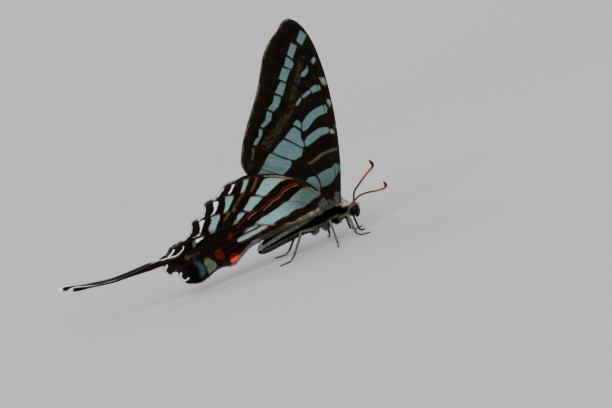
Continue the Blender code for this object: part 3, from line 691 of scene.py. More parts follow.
hindMarks = {
    "pale": [
        [(-16.6, 4.8), (-15.6, 5), (-14.3, 5), (-13, 4.9), (-11.6, 4.7), (-12.4, 4.4), (-13.2, 4.1),
         (-13.9, 3.5), (-14.7, 2.7), (-15.5, 2), (-16.3, 1.2), (-16.9, 0.7), (-17.8, 1), (-18.8, 1.3),
         (-18.6, 1.9), (-18, 2.7), (-17.5, 3.8), (-17, 4.5)],
        [(-19.9, 0.7), (-18.7, 0.8), (-17.2, 0.6), (-17.6, 0), (-18.3, -0.8), (-19.2, -1.6), (-19.7, -2.3),
         (-20.3, -2.7), (-20.9, -2.5), (-21.7, -2.3), (-21.3, -1.7), (-20.7, -0.8), (-20.3, 0)],
        [(-8.4, 2.5), (-7.5, 2.7), (-6.1, 2.7), (-5.2, 1.9), (-3.9, 1.7), (-4.1, 1.2), (-5.2, 0.4),
         (-6.2, -0.3), (-7.3, -1.3), (-8.4, -1.9), (-9.6, -2.2), (-10.6, -2.8), (-11.5, -3.6), (-13, -4.2),
         (-14.3, -5), (-14.9, -5.5), (-16.9, -5.7), (-18.8, -5.5), (-18.8, -5.2), (-17.6, -4.2),
         (-16.4, -3.6), (-15.2, -2.8), (-13.9, -2), (-13, -1.3), (-12.3, -0.7), (-11.2, -0.2), (-10.4, 0.7),
         (-9.6, 1.4), (-9, 1.9)],
        [(-21.6, -7.5), (-20.6, -6.6), (-18.7, -5.8), (-18.3, -6), (-19.4, -6.6), (-21, -7.4)],
        [(-23.1, -9.3), (-22.6, -8.7), (-21, -7.8), (-18.7, -6.8), (-17.5, -6), (-15.9, -5.8), (-16.5, -6.4),
         (-18.4, -7.5), (-20, -8.4), (-21.3, -9.1), (-22.4, -9.6), (-22.9, -9.7)],
        [(-21.4, 4.7), (-20.4, 4.7), (-20.5, 4.1), (-20.9, 3.2), (-21.3, 2.3), (-21.7, 1.7), (-22.3, 1.6),
         (-22.1, 2.3), (-21.8, 3.2), (-21.6, 4.1)],
        [(-25.7, 0.8), (-24.8, 0.9), (-23.8, 1), (-24, 0.2), (-24.3, -0.5), (-24.7, -1.3), (-25.1, -2.2),
         (-25.6, -2.7), (-26.1, -2.9), (-26, -2.4), (-25.8, -1.6), (-25.7, -0.8), (-25.8, 0.1)],
        [(-29, -4), (-28.1, -3.6), (-27, -3.3), (-27, -4.1), (-27.3, -4.9), (-27.7, -5.7), (-27.9, -6.6),
         (-28.3, -7.3), (-29, -7.6), (-29.5, -7.1), (-29.5, -6.4), (-29.1, -5.4), (-28.9, -4.6)],
        [(-22.6, -3.1), (-21.9, -2.9), (-21.1, -3), (-21.5, -3.3), (-21.8, -3.8), (-22.3, -4.3),
         (-22.8, -4.9), (-23.5, -5.6), (-23.9, -5.8), (-23.9, -5.2), (-23.2, -4.4), (-23, -3.6)],
    ],
    "white": [
        [(-24.3, 3.4), (-23.4, 3.7), (-23.8, 3), (-24.2, 2.1), (-24.7, 1.4), (-25.2, 1.2), (-25, 1.7),
         (-24.6, 2.3), (-24.3, 3)],
        [(-28.5, -0.4), (-27.4, -0.3), (-27.3, -0.7), (-27.6, -1.6), (-27.8, -2.4), (-28.2, -3.1),
         (-28.8, -3.5), (-29.1, -3.6), (-28.8, -3.2), (-28.4, -2.6), (-28.3, -1.8), (-28.5, -1)],
        [(-31.8, -5.1), (-31.2, -4.7), (-30.5, -4.5), (-30.4, -4.7), (-30.7, -5.4), (-31, -6.3),
         (-31.2, -7.1), (-31.4, -7.9), (-31.9, -8.4), (-33.2, -8.8), (-33, -8.6), (-32.1, -8.1),
         (-31.6, -7.6), (-31.5, -6.5), (-31.6, -5.7)],
        [(-32.5, -9.15), (-31.7, -8.8), (-30.6, -8.35), (-30.9, -8.9), (-31.6, -9.4), (-32.1, -9.85),
         (-32.5, -9.8)],
    ],
    "red": [
        [(-25, -7.6), (-24.2, -7.6), (-24.1, -8.2), (-24.4, -9), (-24.8, -9.4), (-25.2, -9.3), (-25.1, -8.4)],
        [(-28, -11.7), (-27.5, -11.3), (-26.7, -11.3), (-26.3, -12.2), (-25.9, -13.2), (-26, -13.6),
         (-27.5, -13.7), (-27.8, -13.4), (-28.3, -12.4)],
        [(-24.8, -13), (-24.5, -12.3), (-23.6, -12.1), (-23, -12.3), (-22.2, -12.9), (-22.6, -13.8),
         (-23.8, -14.6), (-24.6, -14.4), (-24.8, -13.8)],
    ],
    "bright": [
        [(-24.6, -13.7), (-23.8, -13.2), (-22.9, -12.6), (-22.2, -12.7), (-22.2, -13.2), (-22.7, -13.9),
         (-23.8, -14.6), (-24.6, -14.4)],
    ],
    "brown": [
        [(-35, -12.8), (-33.4, -11.9), (-31.6, -11.8), (-31.4, -12.3), (-32.2, -13), (-32.9, -13.8),
         (-33.5, -13.4), (-34.1, -13.1)],
    ],
    "gold": [
        [(-35, -12.8), (-33.5, -12.8), (-34.1, -13.8), (-34.9, -13.5)],
    ],
    "blue": [
        [(-32.7, -14.4), (-32, -14.4), (-30.9, -15.2), (-30.4, -16), (-30.6, -16.9), (-31, -17.5),
         (-31.4, -17.2), (-31.3, -16.3), (-31.6, -15.4), (-32.2, -14.8)],
    ],
    "grey": [
        [(-30.5, -13.6), (-29.7, -13.2), (-28.8, -13.9), (-28, -14.4), (-27.7, -15.2), (-28, -16),
         (-28.8, -16.4), (-29.4, -17.2), (-29.8, -16.4), (-30.1, -15.5), (-30.6, -14.7)],
        [(-33.1, -9.5), (-32.4, -9.1), (-32.2, -10), (-32.6, -10.6), (-33.1, -10.9), (-33.2, -10.2)],
    ],
}
hindLines = {  # each line, and its half width at both ends
    "white": [
        ([(-35.3, -10.7), (-35.4, -11.3), (-35.8, -11.8), (-36.3, -12.3), (-37, -12.8), (-37.6, -13),
          (-38.4, -13.2), (-39.2, -13.4), (-40.4, -13.8)], 0.14, 0.12),
    ],
    "red": [
        ([(-9.3, 3.6), (-10.1, 3.5), (-11, 3.2), (-11.9, 2.8), (-12.7, 2.3), (-13, 1.7), (-13.6, 1),
          (-14.2, 0.5), (-15.2, 0), (-15.9, -0.7), (-16.7, -1.4), (-17.5, -2), (-18.1, -2.5)], 0.3, 0.2),
        ([(-19.3, -2.7), (-19.9, -3.1), (-20.6, -3.6), (-21.4, -4.4), (-21.9, -5.1), (-22.5, -5.7),
          (-23, -6.4)], 0.2, 0.14),
    ],
    # on the hindwing these lines are where pale cells fade to tan, their own colour
    "fadeAndFoldShade": [
        ([(-23, -4.7), (-24, -5.9)], 0.2, 0.9),
        ([(-28.4, -7), (-29.3, -7.9)], 0.2, 0.7),
        ([(-32.4, -9.9), (-33.3, -11)], 0.2, 0.9),
        ([(-20.9, -7.2), (-21.8, -7.6)], 0.1, 0.4),
    ],
    "cream": [
        ([(-9.2, 3.4), (-9.9, 3.1), (-10.9, 2.7), (-11.8, 2.2), (-12.4, 1.8), (-12.9, 1.1), (-13.5, 0.4),
          (-14.1, 0), (-14.9, -0.4), (-15.6, -1.2), (-16.6, -2), (-17, -2.5)], 0.05, 0.06),
        ([(-18.6, -2.7), (-19.2, -3.2), (-19.8, -3.6), (-20.6, -4.5)], 0.05, 0.05),
        ([(-16.9, 5.38), (-15, 5.42), (-13.6, 5.36), (-12.5, 5.18)], 0.08, 0.16),
    ],
    "tan": [
        ([(-12.7, 5.22), (-11.6, 5), (-10.4, 4.7)], 0.13, 0.07),
        ([(-18.9, -5.6), (-17.1, -5.6), (-14.7, -5.7)], 0.14, 0.14),
    ],
    "gold": [
        ([(-18.6, 4.9), (-18.9, 4), (-19.3, 3), (-19.8, 2)], 0.3, 0.25),
        ([(-20.4, 4.9), (-20.7, 3.8), (-21.3, 2), (-22, 1.5)], 0.12, 0.1),
        ([(-21.8, 1.2), (-22.5, 0.3), (-23, -0.5), (-23.5, -1.5), (-23.9, -2.4)], 0.3, 0.3),
        ([(-25, -3), (-25.4, -3.8), (-26.1, -4.9)], 0.3, 0.2),
    ],
    "fringe": [
        ([(-26.2, 2.5), (-26.8, 1.8), (-27.2, 1.2), (-27.8, 0.6), (-28.3, 0.1)], 0.16, 0.16),
        ([(-30.5, -1.6), (-30.4, -2.4), (-30.6, -3.1), (-30.7, -3.6), (-31.4, -4.2),
          (-31.8, -4.6)], 0.16, 0.16),
        ([(-33.4, -6), (-33.5, -6.8), (-33.6, -7.5), (-34.3, -8.2), (-34.8, -8.8)], 0.16, 0.16),
        ([(-34.1, -8.2), (-34.9, -9), (-35.4, -9.4)], 0.16, 0.16),
        ([(-37.5, -11.5), (-38, -12.3), (-38.7, -13)], 0.16, 0.16),
        ([(-39.1, -15), (-39.4, -15.7), (-39.5, -16.2), (-39.2, -16.7), (-38.6, -17.1)], 0.18, 0.14),
        ([(-35.9, -16.8), (-36, -17.5), (-35.5, -18.3), (-34.9, -18.4), (-34.2, -17.9)], 0.18, 0.14),
        ([(-61.7, -20.25), (-60.9, -20.1)], 0.55, 0.5),
    ],
    "violet": [
        ([(-22.6, -12.8), (-21.3, -11.7), (-20, -10.4), (-18.7, -9.1), (-17.7, -8)], 0.3, 0.25),
        ([(-27.6, -15.5), (-26.7, -15.6), (-25.9, -15.1), (-24.8, -14.9), (-24, -14.8)], 0.35, 0.25),
    ],
}


def foreSpread(p):  # how far from the animal's middle the wing stands
    nearRoot = np.exp(-np.hypot(p[:, 0], p[:, 1]) / wingForm["rootReach"])
    return wingForm["apart"] + wingForm["rootsApart"] * nearRoot


def hindSpread(p):  # lies over the forewing, wraps the abdomen and closes behind it
    u, v = p[:, 0], p[:, 1]
    out = np.hypot(u, v)
    aboveEdge = (v + 2.2) * 0.9 - (u + 3.0) * 0.43
    wrap = wingForm["wrap"] * np.exp(-(aboveEdge / 2.4) ** 2) * ease(4, 9, out) * (1 - ease(19, 27, out))
    curl = wingForm["curl"] * ease(12, 19, -v) * ease(26, 34, out)
    return foreSpread(p) + wingForm["layer"] * (1 - ease(25, 37, out)) + wrap + curl


def tailRun():  # the tail's middle line, the way across it and its half width as seen from the side
    stations = curve(hindwing["tail"], 0.35, measured=2)
    half = stations[:, 2] / 2 * np.cos(np.radians(stations[:, 3]))
    half *= np.sqrt(1 - ease(0.955, 1.0, np.linspace(0, 1, len(half))) * 0.8)
    return stations, acrossLine(stations), half


def foreOutline():
    return np.vstack([curve(forewing[k], 0.4)[:-1] for k in ("costa", "outer", "inner")])


def hindOutline():
    stations, across, half = tailRun()
    upper = (stations[:, :2] - across * half[:, None])[2:]
    lower = (stations[:, :2] + across * half[:, None])[2:][::-1]
    costa, outer, lobes, inner = [curve(hindwing[k], 0.3, steps=8)
                                  for k in ("costa", "outer", "lobes", "inner")]
    return np.vstack([costa[:-1], outer, upper, lower, [hindwing["tailRoot"]], lobes[:-1], inner[:-1]])


def markEdges(shapes, lines):  # where the flat grid follows the marks
    found, step = [], wingForm["markStep"]
    for shape in (s for kind in shapes.values() for s in kind):
        ring = closedLine(trimCorners(shape))
        found.append(np.vstack([evenLine([a, b], step, 2)[:-1] for a, b in zip(ring[:-1], ring[1:])]))
    for kind in lines:
        if kind != "fadeAndFoldShade":
            found += [curve(line, step, 2) for line, first, _ in lines[kind] if first < wingForm["thinLine"]]
    return found


def flatGrid(outline, veins, marks, step):  # a flat net of triangles along outline, veins and marks
    points = [Vector(p) for p in outline]
    edges = [(i, (i + 1) % len(points)) for i in range(len(points))]
    closed = closedLine(outline)

    def onWing(line, gap):  # by at least a gap from the rim
        return insideShape(line, outline) & (lineDistance(line, closed) > gap)

    def addLine(line):
        first = len(points)
        points.extend(Vector(p) for p in line)
        edges.extend((i, i + 1) for i in range(first, len(points) - 1))

    for line in veins:
        addLine(line)
    for line in marks:  # those off the wing are left out point by point
        for piece in np.split(line, np.flatnonzero(~onWing(line, 0.08))):
            piece = piece[onWing(piece, 0.08)]
            if len(piece) > 1:
                addLine(piece)
    for line in veins:
        for turnTo in (-1, 1):
            beside = line + acrossLine(line) * wingForm["veinWidth"] * 0.8 * turnTo
            points.extend(Vector(q) for q in beside[onWing(beside, 0.15)])
    lowest, highest = outline.min(0), outline.max(0)
    grid = []
    for row, y in enumerate(np.arange(lowest[1], highest[1], step * 0.87)):
        x = np.arange(lowest[0] + (row % 2) * step / 2, highest[0], step)
        grid.append(np.stack([x, np.full(len(x), y)], 1))
    grid = np.vstack(grid)
    grid = grid[onWing(grid, step * 0.6)]
    for lines, gap in ((veins, wingForm["veinWidth"] * 1.3), (marks, step * 0.4)):
        grid = grid[np.min([lineDistance(grid, line) for line in lines], 0) > gap]
    points.extend(Vector(p) for p in grid)
    flat, _, faces, _, _, _ = geometry.delaunay_2d_cdt(points, edges, [list(range(len(outline)))], 1, 1e-3)
    return np.array([tuple(p) for p in flat]), faces


def swingTail(p, spread, side):  # bends the flat tail out, and twists it; also gives the share along it
    stations, across, _ = tailRun()
    near = np.linalg.norm(p[:, None, :] - stations[None, :, :2], axis=2).argmin(1)
    t = np.where(p[:, 0] < hindwing["tail"][0][0] + 0.6, near / (len(stations) - 1), 0)
    back, out = hindwing["swing"][side]
    offset = np.sum((p - stations[near, :2]) * across[near], 1)
    start = side * hindSpread(np.array([hindwing["tail"][0][:2]]))[0]
    inTail = ease(0.0, 0.06, t)
    twist = np.tan(np.radians(stations[near, 3])) * offset * inTail
    y = side * spread * (1 - inTail) + inTail * (start + (out - start) * ease(0.1, 1, t)) - side * twist * 0.9
    return np.stack([p[:, 0] + back * t, y, p[:, 1] + 0.25 * back * t * t], 1), t


def veinAngle(flat, lines):  # the way the nearest vein runs, for the fine streaks between the veins
    best, angle = np.full(len(flat), 1e9), np.zeros(len(flat))
    for line in lines:
        for a, b in zip(line[:-3:3], line[3::3]):
            d = np.linalg.norm(flat - (a + b) / 2, axis=1)
            near = d < best
            best[near] = d[near]
            angle[near] = math.atan2(b[1] - a[1], b[0] - a[0])
    return np.cos(angle), np.sin(angle)


markKinds = ("brown", "grey", "pale", "white", "cream", "tan", "gold", "red", "bright", "spot", "blue",
             "fringe", "violet", "fadeAndFoldShade")


def markDepths(flat, shapes, lines):  # mm inside each kind of mark
    depths = {}
    for kind in markKinds:
        depth = deepest(flat, shapes[kind]) if kind in shapes else np.full(len(flat), farOut)
        for line, first, last in lines.get(kind, []):
            depth = np.maximum(depth, lineDepth(flat, line, first, last))
        depths[kind] = depth
    if "blue" in shapes:
        depths["spot"] = blackSpot["radius"] - np.linalg.norm(flat - np.array(blackSpot["at"]), axis=1)
    return depths


def twice(values):  # for the two faces of a wing
    return np.concatenate([values, values])


def buildWing(name, plan, side, outline, spreadOf, marks, lineMarks):
    lines = [curve(v, 0.3) for v in plan["veins"].values()]
    flat, faces = flatGrid(outline, lines, markEdges(marks, lineMarks), wingForm["spacing"])
    n, out = len(flat), np.hypot(flat[:, 0], flat[:, 1])
    veinAway = np.min([lineDistance(flat, line) for line in lines], 0)
    rim = lineDistance(flat, closedLine(outline))
    ridge = np.clip(1 - (veinAway / wingForm["veinWidth"]) ** 2, 0, 1)
    reach = wingForm["pleatReach"]
    wave = noiseAt(np.column_stack([flat * 0.35, np.full(n, side)]), 1) * wingForm["wave"]
    wave += (np.cos(np.clip(veinAway, 0, reach) / reach * math.pi) - 1) * wingForm["pleat"] / 2
    half = wingForm["thick"] / 2 * (0.45 + 0.55 * ease(0, 0.5, rim))
    spread, t = spreadOf(flat), np.zeros(n)
    middle = np.stack([flat[:, 0], side * spread, flat[:, 1]], 1)
    if "tail" in plan:
        middle, t = swingTail(flat, spread, side)
    middle[:, 1] += side * wave * ease(0, 3, out - 2)
    outer, inner = middle.copy(), middle.copy()
    outer[:, 1] += side * (half + ridge * wingForm["veinOutside"])
    inner[:, 1] -= side * (half + ridge * wingForm["veinInside"])
    uses = {}
    for a, b, c in faces:
        for i, j in ((a, b), (b, c), (c, a)):
            uses.setdefault(frozenset((i, j)), []).append((i, j))
    rimEdges = [found[0] for found in uses.values() if len(found) == 1]
    sheet = [tuple(f) for f in faces] + [(c + n, b + n, a + n) for a, b, c in faces]
    ribbon = [(j, i, i + n, j + n) for i, j in rimEdges]
    wing = outward(newObject(name, np.vstack([outer, inner]), sheet + ribbon))
    host = newObject(name + "Ribbon", np.vstack([outer, inner]), ribbon)  # where the fringe grows
    values = markDepths(flat, marks, lineMarks)
    along, across = veinAngle(flat, lines)
    values.update(vein=veinAway, rim=rim, tail=t, out=out,
                  margin=lineDistance(flat, smoothLine(plan["outer"])),
                  streak=flat[:, 1] * along - flat[:, 0] * across,
                  run=flat[:, 0] * along + flat[:, 1] * across)
    for key, found in values.items():
        setFloat(wing, key, twice(found))
    way = np.zeros((n, 2))
    for i, j in rimEdges:
        d = flat[j] - flat[i]
        way[[i, j]] += (d[1], -d[0])
    return wing, host, flat, values, way / np.maximum(np.linalg.norm(way, axis=1), 1e-6)[:, None]


foreColours = {
    "dark": (0.0023, 0.0014, 0.0008), "dark2": (0.0095, 0.0064, 0.0023), "rim": (0.0121, 0.0095, 0.0044),
    "brown": (0.040, 0.030, 0.016), "pale": (0.078, 0.134, 0.136), "pale2": (0.112, 0.192, 0.194),
    "root": (0.050, 0.094, 0.085), "vein": (0.0075, 0.0066, 0.0027), "grey": (0.165, 0.175, 0.138),
    "tan": (0.070, 0.058, 0.038), "white": (0.238, 0.244, 0.195), "edge": (0.030, 0.036, 0.028),
    "margin": (0.16, 0.13, 0.105), "fadeAndFoldShade": (0.050, 0.076, 0.074), "rootReach": 7.0,
}
hindColours = {
    "dark": (0.0020, 0.0008, 0.0008), "dark2": (0.0081, 0.0051, 0.0013), "rim": (0.0150, 0.0098, 0.0062),
    "brown": (0.032, 0.036, 0.018), "pale": (0.168, 0.268, 0.262), "pale2": (0.240, 0.410, 0.410),
    "root": (0.066, 0.108, 0.094), "vein": (0.080, 0.064, 0.034), "grey": (0.085, 0.107, 0.067),
    "tan": (0.210, 0.150, 0.066), "white": (0.86, 0.88, 0.88), "edge": (0.100, 0.074, 0.034),
    "cream": (0.24, 0.165, 0.105), "gold": (0.108, 0.073, 0.027), "red": (0.076, 0.0050, 0.0018),
    "bright": (1.0, 0.024, 0.005), "blue": (0.026, 0.050, 0.062), "violet": (0.035, 0.023, 0.024),
    "margin": (0.16, 0.13, 0.105), "fadeAndFoldShade": (0.075, 0.052, 0.022), "rootReach": 11.3,
}
wingFinish = {"scale": 0.11, "roughness": 0.66, "shine": 0.03, "relief": 0.025,
              "streakWidth": 3.2, "streakLength": 0.25}


def wingLook(name, c):
    look, form = Look(name), wingFinish
    tone = look.node("ShaderNodeSeparateColor", {}, {0: look.cells(form["scale"], "Color")})  # its red
    speck = tone - 0.5
    ragged = speck * 0.10 + (look.noise(0.5, 2) - 0.5) * 0.16
    drift, patches = look.noise(2.6, 2), look.noise(0.9)
    vein, rim, pale, white = [look.attribute(key) for key in ("vein", "rim", "pale", "white")]
    fibre = look.node("ShaderNodeCombineXYZ", {}, {0: look.attribute("streak") * form["streakWidth"],
                                                   1: look.attribute("run") * form["streakLength"]})
    streaks = look.node("ShaderNodeTexNoise", {}, {"Vector": fibre, "Scale": 1.0, "Detail": 3.0})

    def mark(kind, width=0.10):
        return (look.attribute(kind) + ragged).soft(width)

    def patchy(grain, start, gain):
        return ((grain - start) * gain).clamp()

    dark = look.mix((drift - 0.5) * 1.6 + 0.4, c["dark"], c["dark2"])
    dark = look.mix((1.0 - rim).soft(1.6) * 0.6, dark, c["rim"])
    dark = look.mix((0.12 - vein).soft(0.1) * 0.6, dark, c["rim"])
    wash = look.mix((streaks - 0.5) * 2.2 + 0.5, c["pale"], c["pale2"])
    wash = look.mix((c["rootReach"] - look.attribute("out")).soft(6.0), wash, c["root"])
    # towards these lines the pale turns darker: on the forewing a painted shade along a fold, on the hindwing
    # the cells' own fading to tan
    wash = look.mix(mark("fadeAndFoldShade", 1.1) * 0.85, wash, c["fadeAndFoldShade"])
    nearPale = (pale.most(white) + 0.3).soft(0.35)
    layers = [  # one over the other, with the share of each
        (mark("brown", 0.5) * patchy(patches, 0.38, 4.0) * 0.75, c["brown"]),
        (mark("grey", 0.3) * patchy(streaks, 0.22, 4.0), c["grey"]),
        ((pale + 0.05 + ragged).soft(0.14), look.mix((pale - 0.05).soft(0.22), c["edge"], wash)),
        (mark("white"), look.mix((white - 0.02).soft(0.2), c["edge"], c["white"])),
        ((0.085 - vein + speck * 0.03).soft(0.06) * nearPale * 0.9, c["vein"]),
        ((0.16 - look.attribute("margin")).soft(0.1) * patchy(drift, 0.40, 5.0) * 0.8, c["margin"]),
    ]
    if "gold" in c:
        tail = look.attribute("tail")
        tailEnds = (0.09 - tail).soft(0.1).most((tail - 0.78).soft(0.24)).most(0.05)
        layers += [
            (mark("gold", 0.35) * patchy(patches, 0.3, 3.0) * 0.85, c["gold"]),
            (mark("cream", 0.16) * 0.9, look.mix(mark("fadeAndFoldShade", 1.1) * 0.9, c["cream"], c["fadeAndFoldShade"])),
            (mark("violet", 0.3) * 0.7, c["violet"]),
            (mark("red", 0.12), c["red"]),
            (mark("bright", 0.2), look.mix(look.attribute("bright").soft(0.36), c["red"], c["bright"])),
            (mark("spot", 0.3), c["dark"]),
            ((look.attribute("blue") + 0.15 + ragged).soft(0.9), c["blue"]),
            (mark("fringe", 0.16) * 0.9, c["white"]),
            ((tail - 0.02).soft(0.02) * (0.16 - rim).soft(0.1) * tailEnds * 0.9, c["white"]),
        ]
    colour = dark
    for share, over in layers + [(mark("tan", 0.2) * 0.85, c["tan"])]:
        colour = look.mix(share, colour, over)
    shade = look.node("ShaderNodeMapRange", {}, {0: tone + (streaks - 0.5) * 0.9, 3: 0.82, 4: 1.16})
    relief = look.cells(form["scale"]) * 0.5 + look.noise(0.4) * 0.4 + streaks * 0.5
    return look.done(look.scaled(colour, shade), form["roughness"] + speck * 0.1,
                     look.bump(relief, form["relief"], 0.6), form["shine"])


fringeForm = {"density": 150, "length": 0.4, "width": 0.085,
              "dark": (0.012, 0.009, 0.005), "light": (0.80, 0.80, 0.77)}
wingHairForm = {
    "density": 80, "length": 1.35, "width": 0.10, "grey": (0.075, 0.082, 0.062),
    "stops": [(-24.0, (0.26, 0.20, 0.23)), (-18.2, (0.24, 0.19, 0.21)), (-17.0, (0.085, 0.070, 0.045)),
              (-13.0, (0.065, 0.045, 0.022)), (-9.5, (0.23, 0.19, 0.12)), (-6.0, (0.27, 0.245, 0.17)),
              (-4.7, (0.14, 0.13, 0.09)), (-3.0, (0.12, 0.118, 0.084)), (-1.0, (0.10, 0.11, 0.10))],
    "reach": {"fore": [(-3.0, 0.3), (-1.0, 0.7), (0.8, 0.55)],
              "hind": [(-24.4, 0), (-24.0, 0.3), (-17.6, 0.75), (-17.5, 0.7), (-10, 0.75), (-6, 1.15),
                       (-3, 1.4)]},
    "foreRoot": [(0.7, 1.3), (0.5, 0.2), (-0.4, -0.9), (-2.6, -0.6)],
    "creamAt": [(-4.3, -2.2), (-5.7, -2.9)], "cream": (0.52, 0.49, 0.38),
    "frontFrom": -17.6, "lie": {"front": (-0.85, 0, -0.4), "behind": (-0.35, 0, -0.9)}, "lift": 0.22,
}


def wingUnwrap(p):
    return onSheet((p[:, 0] + 62) / 65, (p[:, 2] + 23) / 66)


def growFringe(name, host, plan, flat, values, way):
    onEdge = lineDistance(flat, smoothLine(plan["outer"])) < 0.1
    if "lobes" in plan:
        onEdge |= lineDistance(flat, smoothLine(plan["lobes"])) < 0.1
    ragged = noiseAt([(*p, 3.0) for p in flat], 1.7)
    light = np.clip(ease(-0.5, 0.1, values["fringe"]) + ease(0.25, 0.5, ragged) * 0.25, 0, 1)
    tint = paint(np.array(fringeForm["dark"]), light, fringeForm["light"])
    lie = np.stack([way[:, 0], np.zeros(len(flat)), way[:, 1]], 1)
    dress(host, twice(tint), twice(lie), twice(onEdge), twice(0.8 + 0.5 * light), wingUnwrap)
    growTufts(name, host, fringeForm, hairLook, "wing_scales")
    bpy.data.objects.remove(host)


def growWingHair(name, wing, flat, plan, root):  # on the outer face, along the wing's inner edge
    form, u = wingHairForm, flat[:, 0]
    inner = lineDistance(flat, smoothLine(root))
    cover = inner < np.interp(u, *np.array(form["reach"][plan]).T)
    low = ease(0.5, 0.25, inner) * ease(-17.0, -15.0, u) * ease(-4.5, -6.0, u)
    tint = paint(colourAlong(u, form["stops"]), low, form["grey"])
    for spot in form["creamAt"]:
        tint = paint(tint, ease(0.65, 0.2, np.linalg.norm(flat - np.array(spot), axis=1)), form["cream"])
    tint *= (1 + 0.9 * noiseAt([(*p, 0) for p in flat], 1.9))[:, None]
    front = u > form["frontFrom"]
    lie = np.where(front[:, None], form["lie"]["front"], form["lie"]["behind"])
    lie[:, 1] = np.sign(pointsOf(wing)[0, 1]) * form["lift"]
    host = copyOf(wing, name + "Host")
    dress(host, twice(tint), twice(lie), np.concatenate([cover, np.zeros(len(flat))]),
          twice(np.where(front, 0.9, 0.6)), wingUnwrap)
    growTufts(name, host, form, hairLook)
    bpy.data.objects.remove(host)


foreScales, hindScales = wingLook("forewingScales", foreColours), wingLook("hindwingScales", hindColours)
bothSides = ((-1, "right"), (1, "left"))
for side, name in bothSides:
    fore, *edge = buildWing("forewingShown_" + name, forewing, side, foreOutline(), foreSpread, foreMarks,
                            foreLines)
    growFringe("forewingFringe_" + name, edge[0], forewing, *edge[1:])
    growWingHair("forewingHair_" + name, fore, edge[1], "fore", wingHairForm["foreRoot"])
    hind, *edge = buildWing("hindwingShown_" + name, hindwing, side, hindOutline(), hindSpread, hindMarks,
                            hindLines)
    growFringe("hindwingFringe_" + name, edge[0], hindwing, *edge[1:])
    growWingHair("hindwingHair_" + name, hind, edge[1], "hind", hindwing["inner"])
    finish(settle(fore), foreScales, "wing_scales", "forewing_" + name)
    finish(settle(hind), hindScales, "wing_scales", "hindwing_" + name, "tail_" + name)


# Body
print("body")
bodyForm = {
    "abdomen": [(-18.1, -12.0, 0.75, 0.6), (-17.6, -11.8, 1.15, 1.0), (-16.4, -11.15, 1.5, 1.4),
                (-13.1, -9.1, 1.85, 1.75), (-10.3, -7.5, 2.0, 1.9), (-7.35, -5.75, 2.1, 2.0),
                (-6.3, -5.1, 2.1, 2.0)],
    "thorax": [(-7.1, -5.6, 2.2, 2.1), (-6.0, -4.8, 2.65, 2.4), (-4.3, -3.7, 3.05, 2.7),
               (-2.1, -2.7, 3.1, 2.75), (-0.2, -2.1, 2.75, 2.4), (1.1, -1.9, 2.1, 1.85),
               (2.1, -1.95, 1.45, 1.3), (3.0, -2.1, 1.2, 1.1)],
    "headBalls": [(0.2, -1.05, (0.45, 0.5, 0.58)), (0.62, 0.93, (0.78, 0.75, 0.5)),
                  (-0.95, -0.85, (0.75, 0.8, 0.7))],  # mouth, crown and throat, from the head's middle
    "palp": [(1.05, 0.42, -1.75), (1.4, 0.44, -1.1), (1.52, 0.44, -0.4), (1.5, 0.42, 0.1)],
    "palpRadii": np.linspace(0.17, 0.13, 60), "hip": (0.5, 0.5, 1.0), "sides": 40,
    "coat": 0.34, "voxel": 0.1, "rings": 8, "ringGroove": 0.09,
}

legForm = {  # hip, knee, ankle and toe, over the floor
    "front": [(1.7, 1.1, 4.7), (3.7, 3.7, 5.3), (4.0, 5.1, 0.95), (6.9, 6.5, 0.18)],
    "middle": [(-1.2, 1.4, 4.3), (-0.7, 5.0, 5.7), (-0.9, 7.1, 0.95), (-1.3, 10.2, 0.18)],
    "hind": [(-4.1, 1.4, 4.3), (-7.7, 3.9, 5.3), (-11.2, 5.3, 0.95), (-14.9, 6.7, 0.18)],
}
underBody = overFloor((-2.1, 0, -2.7))[0]


def palpLine(side):
    u, _, v = headShape["centre"]
    return [(u + a, side * b, v + c) for a, b, c in bodyForm["palp"]]


def hipAt(pair, side):
    x, y, z = legForm[pair][0]
    return backToSide((x + underBody, y * side, z + 0.4))


def buildSkin():  # one closed skin over abdomen, thorax, head, palps and hips
    coat, sides = bodyForm["coat"], bodyForm["sides"]
    abdomen = curve(bodyForm["abdomen"], 0.12, measured=2)
    per = len(abdomen) / (bodyForm["rings"] + 0.6)

    def groove(i):
        return bodyForm["ringGroove"] * math.exp(-((i % per) / per * 7) ** 2)

    (u, _, v), lean = headShape["centre"], headShape["lean"]
    parts = [ringLoft(abdomen, sides, coat * 0.55, groove),
             ringLoft(curve(bodyForm["thorax"], 0.2, measured=2), sides, coat),
             ballParts((u, 0, v), [r - coat * 0.6 for r in headShape["radii"]], lean)]
    parts += [ballParts((u + a, 0, v + b), radii, lean) for a, b, radii in bodyForm["headBalls"]]
    for side in (-1, 1):
        parts.append(tubeParts(curve(palpLine(side), 0.15), bodyForm["palpRadii"]))
        parts += [ballParts(hipAt(pair, side), bodyForm["hip"]) for pair in legForm]
    skin = joinParts("bodySkin", parts)
    remesh = skin.modifiers.new("oneSkin", "REMESH")
    remesh.mode, remesh.voxel_size = "VOXEL", bodyForm["voxel"]
    smooth = skin.modifiers.new("smooth", "SMOOTH")
    smooth.iterations, smooth.factor = 3, 0.5
    applied(skin)
    skin.data.shade_smooth()
    return skin


def middleAt(u):  # height of the body's middle line, and half its height there
    s = np.array(bodyForm["abdomen"][:-1] + bodyForm["thorax"][1:])
    head = headShape["centre"]
    s = np.vstack([s, [head[0] + 1.5, head[2], 1.6, 1.4]])
    return np.interp(u, s[:, 0], s[:, 1]), np.interp(u, s[:, 0], s[:, 2])


